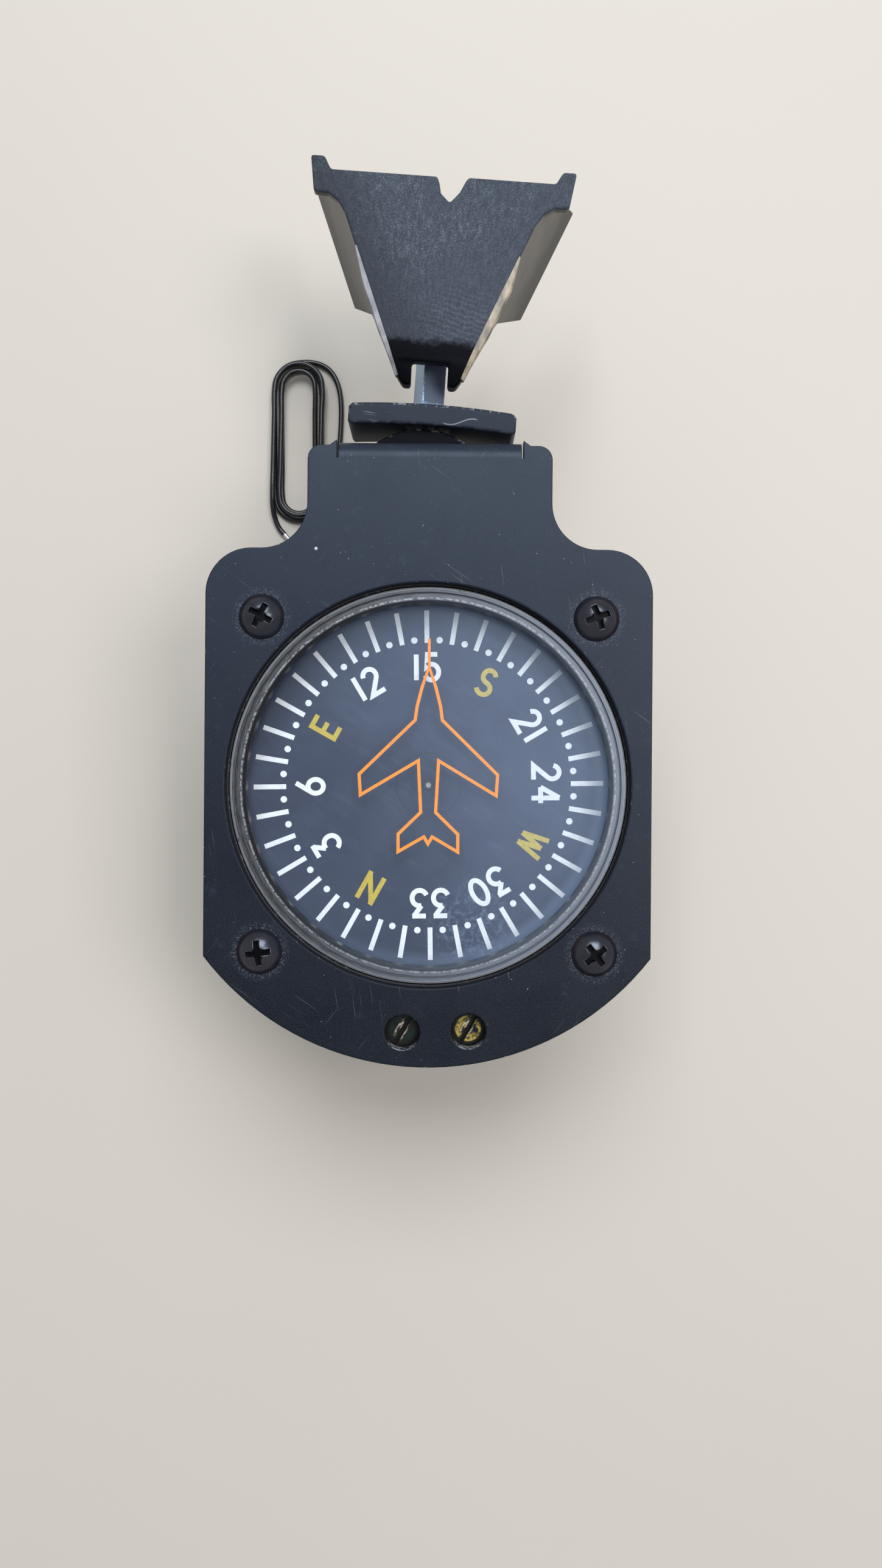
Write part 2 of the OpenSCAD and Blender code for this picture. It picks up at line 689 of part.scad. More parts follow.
module case_body() {
    color("#26282c") difference() {
        union() {
            case_shell();
            at_bosses() {
                translate([0, 0, case_rear]) cylinder(r = boss_r, h = bridge_back - case_rear);
                block([0, -boss_r / 2, case_rear], [boss_in + case_wall / 2, boss_r / 2, bridge_back]);
            }
        }
        comp_cavity();
        at_bosses() {
            translate([0, 0, bridge_back - small_screw_len]) cylinder(r = small_screw_r + fit, h = small_screw_len + over);
            translate([0, 0, case_rear - over]) cylinder(r = small_screw_r + fit, h = small_screw_len + over);
        }
        at_corners() translate([0, 0, flange_back - over])
            cylinder(r = screw_r + screw_fit, h = flange_t + 2 * over);
        for (at = [ns_at, ew_at]) translate([at[0], at[1], 0]) {
            translate([0, 0, collar_front - collar_t - slide]) cylinder(r = collar_r + fit, h = comp_depth);
            translate([0, 0, comp_cavity_front - over]) cylinder(r = comp_shaft_r + fit, h = comp_depth);
        }
        for (at = [ns_idler_at, ew_idler_at]) translate([at[0], at[1], comp_cavity_front - over])
            cylinder(r = comp_shaft_r + fit, h = idler_pivot + over + slide);
        translate([comp_screw_at[0], comp_screw_at[1], comp_back - over])
            cylinder(r = comp_screw_r + fit, h = comp_depth / 2);
        along_gland(case_bore - over) cylinder(r = gland_r + fit, h = case_wall + 2 * over);
    }
}
module rear_cover() {
    head_room = small_head_h + slide;
    color("#26282c") difference() {
        cylinder(r = case_r, h = cover_t);
        at_bosses() {
            translate([0, 0, -over]) cylinder(r = small_head_r + slide, h = head_room + over);
            cylinder(r = small_screw_r + fit, h = cover_t + over);
        }
    }
}
module rear_gasket() {
    color("#111111") translate([0, 0, cover_t]) difference() {
        tube(case_r - slide, boss_at - boss_r - slide, rear_gasket_t);
        at_bosses() translate([0, 0, -over]) cylinder(r = small_screw_r + screw_fit, h = rear_gasket_t + 2 * over);
    }
}
module rear_screws() {
    color("#55565a") at_bosses() translate([0, 0, small_head_h + slide]) rotate([180, 0, 0]) small_screw();
}

// Glass and the ring that holds it
module lens() {
    color([0.8, 0.85, 0.88, 0.35]) translate([0, 0, lens_back])
        cylinder(r = ring_r - slide / 3, h = lens_t, $fn = 128);
}
module lens_gasket() {
    color("#111111") translate([0, 0, ledge_front]) tube(ring_r, ledge_in, lens_gasket_t);
}
module retaining_ring() {
    land = ring_w / 3;
    step = groove_w;
    profile = [[ring_in, 0], [ring_r, 0], [ring_r, ring_t - step], [ring_r - step, ring_t],
        [ring_r - land, ring_t], [ring_r - land, ring_t - step], [ring_r - land - step, ring_t - step],
        [ring_r - land - step, ring_t - step / 2], [ring_in + 2 * step, ring_t - step / 2],
        [ring_in + step, ring_t], [ring_in, ring_t - step]];
    color("#6f685f") translate([0, 0, lens_front]) rotate_extrude($fn = 128) polygon(profile);
}

// Movement: bridge, card and its arbor
module bridge_bars() {
    intersection() {
        translate([0, 0, bridge_back]) cylinder(r = bridge_r, h = bridge_t);
        union() for (a = [45, 135]) rotate(a)
            block([-case_r, -bridge_bar / 2, bridge_back], [case_r, bridge_bar / 2, bridge_front]);
    }
    block([-bridge_bar / 2, -spindle_half - arm_t, bridge_back], [bridge_bar / 2, spindle_half + arm_t, bridge_front]);
}
module bridge_arms() {
    for (s = [-1, 1])
        block([-bridge_bar / 2, s * (spindle_half + arm_t / 2) - arm_t / 2, spindle_z - bridge_bar / 2],
              [bridge_bar / 2, s * (spindle_half + arm_t / 2) + arm_t / 2, bridge_back + over]);
}
module cup_rivet_at() {
    for (s = [-1, 1]) translate([s * bridge_bar / 4, -spindle_half, spindle_z + jewel_r + bridge_bar / 2])
        rotate([90, 0, 0]) children();
}
module bridge() {
    color("#b59a55") difference() {
        union() {
            bridge_bars();
            bridge_arms();
            translate([0, 0, arbor_tube_back]) cylinder(r = hub_flange_r, h = arbor_tube);
        }
        translate([0, 0, arbor_tube_back - over]) cylinder(r = bush_r + fit, h = arbor_tube + 2 * over);
        at_bosses() translate([0, 0, bridge_back - over])
            cylinder(r = small_screw_r + fit, h = bridge_t + 2 * over);
        translate([0, -spindle_half - arm_t - over, spindle_z]) rotate([-90, 0, 0])
            cylinder(r = jewel_r + fit, h = 2 * (spindle_half + arm_t + over));
        cup_rivet_at() translate([0, 0, -over]) cylinder(r = rivet_r / 2 + fit, h = arm_t + 2 * over);
    }
}
module bridge_screws() {
    color("#c8b070") at_bosses() translate([0, 0, bridge_front]) small_screw();
}
module compass_card() {
    color("#2f363c") translate([0, 0, card_back]) difference() {
        cylinder(r = card_r, h = card_t, $fn = 128);
        translate([0, 0, -over]) cylinder(r = arbor_r + fit, h = card_t + 2 * over);
    }
}
module card_shaft() {
    shaft_end = spindle_z + mitre_scale * mitre_r + over;
    color("#c9c9c9") {
        translate([0, 0, shaft_end]) cylinder(r = arbor_r, h = card_front + arbor_tip - shaft_end);
        translate([0, 0, card_back - hub_flange_t]) cylinder(r = hub_flange_r, h = hub_flange_t);
    }
}
module card_bushes() {
    color("#b0413e") for (z = [arbor_tube_back, arbor_tube_front - bush_len])
        translate([0, 0, z]) tube(bush_r, arbor_r + fit, bush_len);
}
module card_gear() {
    color("#c8a84b") translate([0, 0, spindle_z]) mitre_gear(arbor_r + fit / 2);
}

// Movement: magnet spindle and damping
module along_spindle(from_y) {
    translate([0, from_y, spindle_z]) rotate([-90, 0, 0]) children();
}
module spindle() {
    rod_half = spindle_half - slide;
    pivot_half = spindle_half + arm_t / 2;
    color("#c9c9c9") {
        along_spindle(-rod_half) cylinder(r = arbor_r, h = 2 * rod_half);
        along_spindle(-pivot_half) cylinder(r = pivot_r, h = 2 * pivot_half);
    }
}
module spindle_gear() {
    color("#c8a84b") translate([0, 0, spindle_z]) rotate([90, 0, 0]) rotate(180 / mitre_teeth)
        mitre_gear(arbor_r + fit / 2);
}
module magnet() {
    color("#4a4c52") along_spindle(magnet_y) tube(magnet_r, arbor_r + fit / 2, magnet_len);
}
module spindle_jewels() {
    color("#b0413e") for (s = [-1, 1]) difference() {
        along_spindle(s * (spindle_half + arm_t / 2) - arm_t / 2) cylinder(r = jewel_r, h = arm_t);
        along_spindle(s * spindle_half - arm_t / 2 - slide) cylinder(r = pivot_r + fit, h = arm_t + 2 * slide);
    }
}
module damping_cup() {
    cup_in = magnet_r + cup_gap;
    color("#a8642f") difference() {
        along_spindle(-spindle_half) cylinder(r = cup_in + cup_wall, h = cup_depth);
        along_spindle(cup_wall - spindle_half) cylinder(r = cup_in, h = cup_depth);
        along_spindle(-spindle_half - over) cylinder(r = arbor_r + 1, h = cup_depth);
        cup_rivet_at() translate([0, 0, -cup_wall - over]) cylinder(r = rivet_r / 2 + fit, h = 2 * cup_wall);
    }
}
module cup_rivets() {
    color("#c8b070") cup_rivet_at() {
        translate([0, 0, -cup_wall]) cylinder(r = rivet_r / 2, h = cup_wall + arm_t);
        translate([0, 0, arm_t]) cylinder(r = rivet_r, h = rivet_head_h);
        translate([0, 0, -cup_wall - rivet_head_h]) cylinder(r = rivet_r, h = rivet_head_h);
    }
}

// Lamp, gland and lead
module lamp_socket() {
    color("#3a3530") difference() {
        along_gland(case_bore - slide - socket_len) cylinder(r = socket_r, h = socket_len);
        along_gland(case_bore - gland_inside - slide) cylinder(r = gland_r + fit, h = socket_len);
    }
}
module lamp_bulb() {
    base = case_bore - slide - socket_len;
    color("#e8dcae") {
        along_gland(base - 2 * bulb_r) cylinder(r = bulb_r, h = 2 * bulb_r);
        along_gland(base - 2 * bulb_r) sphere(r = bulb_r);
    }
}
module lead_grommet() {
    color("#141414") {
        along_gland(case_bore - gland_inside)
            cylinder(r = gland_r, h = gland_seat + gland_flange_t / 2 - case_bore + gland_inside);
        along_gland(gland_seat) cylinder(r = gland_flange_r, h = gland_flange_t);
        along_gland(gland_seat + gland_flange_t / 2)
            cylinder(r = gland_nose_r, h = gland_flange_t / 2 + gland_nose);
    }
}
module lead_stretch() {
    color("#0d0d0e") swept_tube(stretch_route, lead_d);
}
module lead_hank() {
    color("#0d0d0e") swept_tube(hank_route, lead_d);
}
module lead_end() {
    color("#c0c0c4") translate(hank_tail[3]) rotate([0, 90, atan2(tail_dir[1], tail_dir[0])])
        cylinder(r = tip_r, h = tip_len);
}

// Compensator: two screws, each geared to an idler that turns the other way
module comp_screw(at) {
    head_front = face_z - comp_head_set;
    color("#b08d3c") translate([at[0], at[1], 0]) difference() {
        union() {
            translate([0, 0, collar_front - collar_t]) cylinder(r = collar_r, h = collar_t);
            translate([0, 0, collar_front - over]) cylinder(r = comp_head_r, h = head_front - collar_front + over);
            translate([0, 0, comp_back - comp_cover_t + slide])
                cylinder(r = comp_shaft_r, h = collar_front - comp_back + comp_cover_t - over);
        }
        rotate(comp_slot_turn) translate([-collar_r - over, -comp_slot_w / 2, head_front - comp_slot_w])
            cube([2 * (collar_r + over), comp_slot_w, comp_slot_w + over]);
        translate([0, 0, rod_z]) rotate([90, 0, 0]) cylinder(r = rod_r + fit / 2, h = rod_len, center = true);
    }
}
module comp_hub(bore) {
    difference() {
        translate([0, 0, rod_z - 2 * rod_r]) cylinder(r = comp_hub_r, h = spur_front - spur_t - rod_z + 2 * rod_r + over);
        translate([0, 0, rod_z]) rotate([90, 0, 0]) cylinder(r = rod_r + fit / 2, h = rod_len, center = true);
        translate([0, 0, comp_back]) cylinder(r = bore, h = comp_depth);
    }
}
module comp_gear(at, mesh) {
    color("#c8a84b") translate([at[0], at[1], 0]) {
        difference() {
            translate([0, 0, spur_front - spur_t]) rotate(mesh) spur_gear();
            translate([0, 0, comp_back]) cylinder(r = comp_shaft_r + fit / 2, h = comp_depth);
        }
        comp_hub(comp_shaft_r + fit / 2);
    }
}
module comp_idler(at, mesh) {
    color("#c8a84b") translate([at[0], at[1], 0]) difference() {
        union() {
            translate([0, 0, spur_front - spur_t]) rotate(mesh + 180 + 180 / spur_teeth) spur_gear();
            translate([0, 0, rod_z - 2 * rod_r]) cylinder(r = comp_hub_r, h = spur_front - spur_t - rod_z + 2 * rod_r + over);
            translate([0, 0, comp_back - comp_cover_t + slide])
                cylinder(r = comp_shaft_r, h = comp_cavity_front + idler_pivot - comp_back + comp_cover_t - slide);
        }
        translate([0, 0, rod_z]) rotate([90, 0, 0]) cylinder(r = rod_r + fit / 2, h = rod_len, center = true);
    }
}
module comp_rod(at) {
    color("#4a4c52") translate([at[0], at[1], rod_z]) rotate([90, 0, 0]) cylinder(r = rod_r, h = rod_len, center = true);
}
module ns_screw() { comp_screw(ns_at); }
module ns_gear() { comp_gear(ns_at, ns_mesh); }
module ns_magnet() { comp_rod(ns_at); }
module ns_idler() { comp_idler(ns_idler_at, ns_mesh); }
module ns_idler_magnet() { comp_rod(ns_idler_at); }
module ew_screw() { comp_screw(ew_at); }
module ew_gear() { comp_gear(ew_at, ew_mesh); }
module ew_magnet() { comp_rod(ew_at); }
module ew_idler() { comp_idler(ew_idler_at, ew_mesh); }
module ew_idler_magnet() { comp_rod(ew_idler_at); }
module comp_cover() {
    color("#26282c") difference() {
        comp_block(comp_edge_r, comp_side, -case_r - slide, comp_back - comp_cover_t, comp_back);
        for (at = [ns_at, ew_at, ns_idler_at, ew_idler_at]) translate([at[0], at[1], 0])
            cylinder(r = comp_shaft_r + fit, h = face_z);
        translate([comp_screw_at[0], comp_screw_at[1], 0]) cylinder(r = comp_screw_r + fit, h = face_z);
    }
}
module comp_cover_screw() {
    color("#55565a") translate([comp_screw_at[0], comp_screw_at[1], comp_back - comp_cover_t]) {
        translate([0, 0, -small_head_h]) cylinder(r = comp_boss_r, h = small_head_h);
        cylinder(r = comp_screw_r, h = comp_depth / 2);
    }
}

// Bracket: clamp under the tab
module rocker_pad() {
    color("#202226") difference() {
        intersection() {
            translate([bracket_x, roll_y, bracket_z - rocker_depth / 2]) cylinder(r = rocker_r, h = rocker_depth);
            block([bracket_x - rocker_w / 2, tab_y, bracket_z - rocker_depth / 2],
                  [bracket_x + rocker_w / 2, tab_y + rocker_h + over, bracket_z + rocker_depth / 2]);
        }
        stud_slot_cut(tab_y - over, tab_y + rocker_h + over);
        rivet_holes(tab_y - over, tab_y + rocker_h + over);
    }
}
module nut_cradle() {
    cradle_top = tab_y - plate_t;
    color("#202226") difference() {
        block([bracket_x - cradle_w / 2, roll_y, bracket_z - saddle_depth / 2],
              [bracket_x + cradle_w / 2, cradle_top, bracket_z + saddle_depth / 2]);
        translate([bracket_x, roll_y, bracket_z - saddle_depth]) cylinder(r = barrel_nut_r + fit, h = 2 * saddle_depth);
        stud_slot_cut(roll_y, cradle_top + over);
        rivet_holes(roll_y - over, cradle_top + over);
    }
}
module cradle_rivets() {
    rivet_top = roll_y + sqrt(rocker_r * rocker_r - pow(rivet_x + rivet_r, 2)) - slide;
    color("#8a8a8e") for (s = [-1, 1]) translate([bracket_x + s * rivet_x, roll_y, bracket_z]) rotate([-90, 0, 0]) {
        cylinder(r = rivet_r, h = rivet_top - roll_y);
        translate([0, 0, -rivet_head_h]) cylinder(r = rivet_head_r, h = rivet_head_h);
    }
}
module along_post(from_v) {
    translate([0, from_v, bracket_z]) rotate([-90, 0, 0]) children();
}
module barrel_nut() {
    color("#8a8a8e") on_bracket() difference() {
        translate([0, roll_y, bracket_z - saddle_depth / 2]) cylinder(r = barrel_nut_r, h = saddle_depth);
        along_post(roll_y - 2 * barrel_nut_r) cylinder(r = stud_r + fit, h = 4 * barrel_nut_r);
    }
}

// Bracket: saddle and post
module saddle() {
    arch_v = saddle_top - saddle_arch_r;
    end_x = saddle_w / 2;
    end_top = arch_v + sqrt(pow(saddle_arch_r, 2) - pow(end_x, 2));
    end_low = arch_v + sqrt(pow(saddle_arch_r - saddle_t, 2) - pow(end_x, 2));
    cut_x = end_x - 2 * saddle_chamfer;
    side = [[cut_x, saddle_top + over], [cut_x, end_top + saddle_chamfer], [end_x, end_top - saddle_chamfer],
        [end_x, end_low + saddle_chamfer], [cut_x, end_low - saddle_chamfer]];
    color("#1d1f23") on_bracket() difference() {
        translate([saddle_off, 0, bracket_z - saddle_depth / 2]) intersection() {
            translate([0, arch_v, 0]) tube(saddle_arch_r, saddle_arch_r - saddle_t, saddle_depth, $fn = 256);
            translate([0, 0, -over]) linear_extrude(saddle_depth + 2 * over)
                polygon(concat(side, [for (i = [4 : -1 : 0]) [-side[i][0], side[i][1]]]));
        }
        along_post(roll_y) cylinder(r = stud_r + fit, h = shoe_v);
    }
}
module post() {
    square_top = shoe_v - barrel_r - slide;
    stud_low = roll_y - barrel_nut_r - stud_below;
    stud_high = shoe_v + barrel_r + slide + swivel_nut_t + stud_below / 2;
    color("#23252a") on_bracket() {
        along_post(stud_low) cylinder(r = stud_r, h = stud_high - stud_low);
        translate([0, saddle_top, bracket_z]) rotate([0, post_turn, 0])
            block([-post_w / 2, 0, -post_w / 2], [post_w / 2, square_top - saddle_top, post_w / 2]);
        along_post(saddle_top) cylinder(r1 = collar_foot_r, r2 = collar_top_r, h = collar_h);
    }
}

// Bracket: swivel and shoe
module swivel_barrel() {
    trunnion_half = lug_gap / 2 + lug_t;
    color("#8a8a8e") on_bracket() translate([0, shoe_v, bracket_z]) difference() {
        union() {
            rotate([0, 90, 0]) cylinder(r = barrel_r, h = lug_gap - 2 * slide, center = true);
            rotate([0, 90, 0]) cylinder(r = trunnion_r, h = 2 * trunnion_half, center = true);
        }
        rotate([90, 0, 0]) cylinder(r = stud_r + fit, h = 4 * barrel_r, center = true);
    }
}
module swivel_nut() {
    color("#8a8a8e") on_bracket() along_post(shoe_v + barrel_r + slide) hex_nut(swivel_flats, stud_r + fit, swivel_nut_t);
}
// Half outline of the shoe front, from the ear down to the start of the lip
brow_corner = [1, 0];
brow_root = [3.4, -0.1];
side_bend = [1.4, 2.1];
shoe_half = [[ear_x, ear_rise], [ear_x, brow_rise] - brow_corner, [side_x, brow_rise] + brow_root,
    [side_x, side_rise] + side_bend, [side_x, side_rise], [lip_x, -lip_drop]];
// Width of the ears at their roots and at their tips
ear_root_w = 3.9;
ear_tip_w = 2.6;
// Rough notch sawn in the top edge
notch = [[-1.5, 1], [-0.6, -1.2], [-0.2, -3.1], [1.6, -4.8], [3.3, -2.8], [5.1, 1]];
module shoe_front_outline() {
    half_top = [[ear_x - ear_root_w, top_rise], [ear_x - ear_tip_w, ear_rise]];
    left = [for (i = [len(shoe_half) - 1 : -1 : 0]) [-shoe_half[i][0], shoe_half[i][1]]];
    left_top = [for (i = [1 : -1 : 0]) [-half_top[i][0], half_top[i][1]]];
    difference() {
        polygon(concat(half_top, shoe_half, left, left_top));
        translate([0, top_rise]) polygon(notch);
    }
}
module shoe_lip() {
    slope = (side_x - lip_x) / (side_rise + lip_drop);
    low_x = lip_x - slope * (lip_end_drop - lip_drop);
    front = shoe_front - bracket_z;
    half = [[lip_x, -lip_drop], [low_x + slope * lip_corner, lip_corner - lip_end_drop],
        [low_x - lip_corner / 2, -lip_end_drop]];
    difference() {
        intersection() {
            translate([-lip_x, -lip_drop, front - lip_r]) rotate([0, 90, 0]) tube(lip_r, lip_r - shoe_t, 2 * lip_x);
            translate([0, 0, front - lip_r]) linear_extrude(lip_r + over)
                polygon(concat(half, [for (i = [2 : -1 : 0]) [-half[i][0], half[i][1]]]));
        }
        block([-lip_slot / 2, -lip_end_drop - over, front - lip_r - over], [lip_slot / 2, -lip_slot_drop, front + over]);
    }
}
module shoe_wing() {
    slant = atan2(side_rise + lip_drop, side_x - lip_x);
    top = (top_rise - shoe_t / 2 + lip_drop) / sin(slant);
    rear = (wing_rear_rise + lip_drop) / sin(slant);
    corner = (wing_corner_rise + lip_drop) / sin(slant);
    mid = (wing_mid_rise + lip_drop) / sin(slant);
    translate([lip_x, -lip_drop, shoe_front - bracket_z - shoe_t])
        rotate(slant) rotate([-wing_flare, 0, 0]) translate([0, shoe_t, 0]) rotate([90, 0, 0])
            linear_extrude(shoe_t) polygon([[0, shoe_t / 2], [top, shoe_t / 2], [rear, shoe_t - wing_depth],
                [corner, shoe_t - wing_depth], [mid, shoe_t - wing_mid_depth], [0, shoe_t - wing_low_depth]]);
}
module shoe_lug() {
    translate([lug_gap / 2, 0, 0]) difference() {
        union() {
            rotate([0, 90, 0]) cylinder(r = lug_reach, h = lug_t);
            block([0, -lug_reach, 0], [lug_t, lug_reach, shoe_front - bracket_z - shoe_t / 2]);
        }
        translate([-over, 0, 0]) rotate([0, 90, 0]) cylinder(r = trunnion_r + fit, h = lug_t + 2 * over);
    }
}
module shoe() {
    front = shoe_front - bracket_z;
    color("#17181b") on_bracket() translate([0, shoe_v, bracket_z]) {
        translate([0, 0, front - shoe_t]) linear_extrude(shoe_t) shoe_front_outline();
        shoe_lip();
        for (s = [0, 1]) mirror([s, 0, 0]) {
            shoe_wing();
            shoe_lug();
        }
    }
}

bezel_plate();
face_screws();
face_nuts();
case_body();
rear_cover();
rear_gasket();
rear_screws();
lens();
lens_gasket();
retaining_ring();
bridge();
bridge_screws();
compass_card();
card_shaft();
card_bushes();
card_gear();
spindle();
spindle_gear();
magnet();
spindle_jewels();
damping_cup();
cup_rivets();
lamp_socket();
lamp_bulb();
lead_grommet();
lead_stretch();
lead_hank();
lead_end();
ns_screw();
ns_gear();
ns_magnet();
ns_idler();
ns_idler_magnet();
ew_screw();
ew_gear();
ew_magnet();
ew_idler();
ew_idler_magnet();
comp_cover();
comp_cover_screw();
rocker_pad();
nut_cradle();
cradle_rivets();
barrel_nut();
saddle();
post();
swivel_barrel();
swivel_nut();
shoe();
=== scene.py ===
import math

import bpy
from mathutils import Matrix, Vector


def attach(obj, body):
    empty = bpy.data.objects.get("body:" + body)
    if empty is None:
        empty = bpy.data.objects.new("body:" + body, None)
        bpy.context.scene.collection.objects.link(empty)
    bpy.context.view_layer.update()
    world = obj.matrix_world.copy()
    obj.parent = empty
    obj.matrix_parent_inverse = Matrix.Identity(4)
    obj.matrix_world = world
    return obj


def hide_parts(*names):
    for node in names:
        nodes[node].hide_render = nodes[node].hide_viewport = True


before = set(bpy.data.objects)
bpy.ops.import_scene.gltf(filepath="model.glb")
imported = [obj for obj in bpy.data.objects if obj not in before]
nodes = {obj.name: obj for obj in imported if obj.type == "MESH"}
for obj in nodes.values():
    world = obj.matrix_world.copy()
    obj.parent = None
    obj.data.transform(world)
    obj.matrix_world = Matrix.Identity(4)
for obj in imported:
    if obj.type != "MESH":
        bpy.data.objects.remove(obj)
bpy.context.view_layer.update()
scene = bpy.context.scene

# Lengths are in mm, as in the CAD, and MM turns them into metres. Camera, floor and lamps are in metres
MM = 0.001

# Face: front of the plate, and the face screws in x and y
PLATE_FRONT = 52
SCREW_AT = 31.435
# Compensator screws: axes, turn of the slots, a height just under the front of the heads, and a radius just
# past the walls of their holes
NORTH_AT = (-4.5, -46.4)
EAST_AT = (7.9, -46.1)
SLOT_TURN = math.radians(60)
HEAD_Z = 49.5
HOLE_R = 3.44
# Dial: front of the card, back of the glass
CARD_TOP = 42.1
LENS_BACK = 45.1
# Shoe: pivot, lean and front. Lip: corner seen from the pivot, slope of the sides, and rounding
SHOE_AT = (0.4877, 90.9229)
SHOE_TURN = math.radians(-3.7)
SHOE_FRONT = 50
LIP_AT = (8.8, -6.5)
LIP_SLOPE = 0.407
LIP_R = 12


# Camera: straight above the dial, as the photograph was taken
CAMERA_AT = (0.002458, 0.000247, 0.256)
CAMERA_TURN = math.radians(0.4)
cam_data = bpy.data.cameras.new("camera")
cam_data.sensor_width = 36
cam_data.lens = 24.96
cam_data.clip_start = 0.01
cam = bpy.data.objects.new("camera", cam_data)
cam.location = CAMERA_AT
cam.rotation_euler = (0, 0, CAMERA_TURN)
scene.collection.objects.link(cam)
scene.camera = cam


# Lead: from the gland down to the table, up beside the neck, and wound into a flat hank
LEAD_D = 1.2
LEAD_Z = 0.65
# Gland: its turn round the dial axis, where the lead starts out and up from there, and its straight run
GLAND_TURN, GLAND_R, GLAND_Z, GLAND_RUN = math.radians(112), 42.6, 7.5, 1.5
LEAD_DROP = [(-17.6, 44, 6.2), (-18.8, 47.2, 3.6), (-19.8, 50, 1.6)]
LEAD_LYING = [(-20.8, 53), (-21.6, 57), (-22.1, 61), (-22.4, 65), (-22.5, 69), (-22.4, 73), (-22.1, 77),
              (-21.8, 81), (-21.6, 85), (-21.6, 88.6), (-21.9, 91.8), (-22.7, 94.6), (-24.1, 96.9),
              (-26, 98.3), (-28, 98.9)]
LEAD_TAIL = [(-37.3, 64.6, 1.8), (-36.8, 62, 1), (-35.9, 60, LEAD_Z), (-34.7, 58.6, LEAD_Z)]
# Hank: middle, radius of the innermost bend, step from turn to turn and between layers, length of a run
HANK_AT, HANK_IN, HANK_STEP, HANK_RUN = (-31.2, 80), 3.6, 1.7, 25.2
# Quarters of the winding: the first, the one that climbs to the second layer, and the last
HANK_FIRST, HANK_CLIMB, HANK_LAST = 1.5, 8, 15
RUN_POINTS, BEND_POINTS = 4, 8


def hank_point(quarter):
    """A point on the winding. Even quarters are straight runs and odd ones half circles, four to a turn."""
    past = quarter - HANK_CLIMB
    r = HANK_IN + HANK_STEP / 4 * (-past if past < 0 else max(0, past - 1))
    part = quarter - math.floor(quarter)
    side = math.floor(quarter) % 4
    if side % 2:
        x = r * math.cos(math.pi * part)
        y = HANK_RUN / 2 + r * math.sin(math.pi * part)
    else:
        x = r
        y = HANK_RUN * (part - 0.5)
    if side >= 2:
        x, y = -x, -y
    return (HANK_AT[0] + x, HANK_AT[1] + y, LEAD_Z + HANK_STEP * min(1, max(0, past)))


def lead_route():
    out = Vector((math.cos(GLAND_TURN), math.sin(GLAND_TURN), 0))
    start = GLAND_R * out + Vector((0, 0, GLAND_Z))
    lying = [(x, y, LEAD_Z) for x, y in LEAD_LYING]
    turns = []
    for quarter in range(math.floor(HANK_FIRST), HANK_LAST):
        count = BEND_POINTS if quarter % 2 else RUN_POINTS
        places = [quarter + i / count for i in range(count)]
        turns += [hank_point(place) for place in places if place >= HANK_FIRST]
    turns.append(hank_point(HANK_LAST))
    return [start, start + GLAND_RUN * out] + LEAD_DROP + lying + turns + LEAD_TAIL


def make_lead():
    """The lead as one curve; its points carry the half thickness, so its bounds are true."""
    route = [Vector(point) * MM for point in lead_route()]
    data = bpy.data.curves.new("lamp_lead", "CURVE")
    data.dimensions = "3D"
    data.bevel_depth = 1
    data.bevel_resolution = 4
    data.resolution_u = 5
    data.use_fill_caps = True
    line = data.splines.new("BEZIER")
    line.bezier_points.add(len(route) - 1)
    for point, at in zip(line.bezier_points, route):
        point.co = at
        point.radius = LEAD_D * MM / 2
        point.handle_left_type = "AUTO"
        point.handle_right_type = "AUTO"
    made = bpy.data.objects.new("lamp_lead", data)
    scene.collection.objects.link(made)
    return made, route[0]


lead, lead_exit = make_lead()
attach(lead, "case")
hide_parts("lead_stretch", "lead_hank")


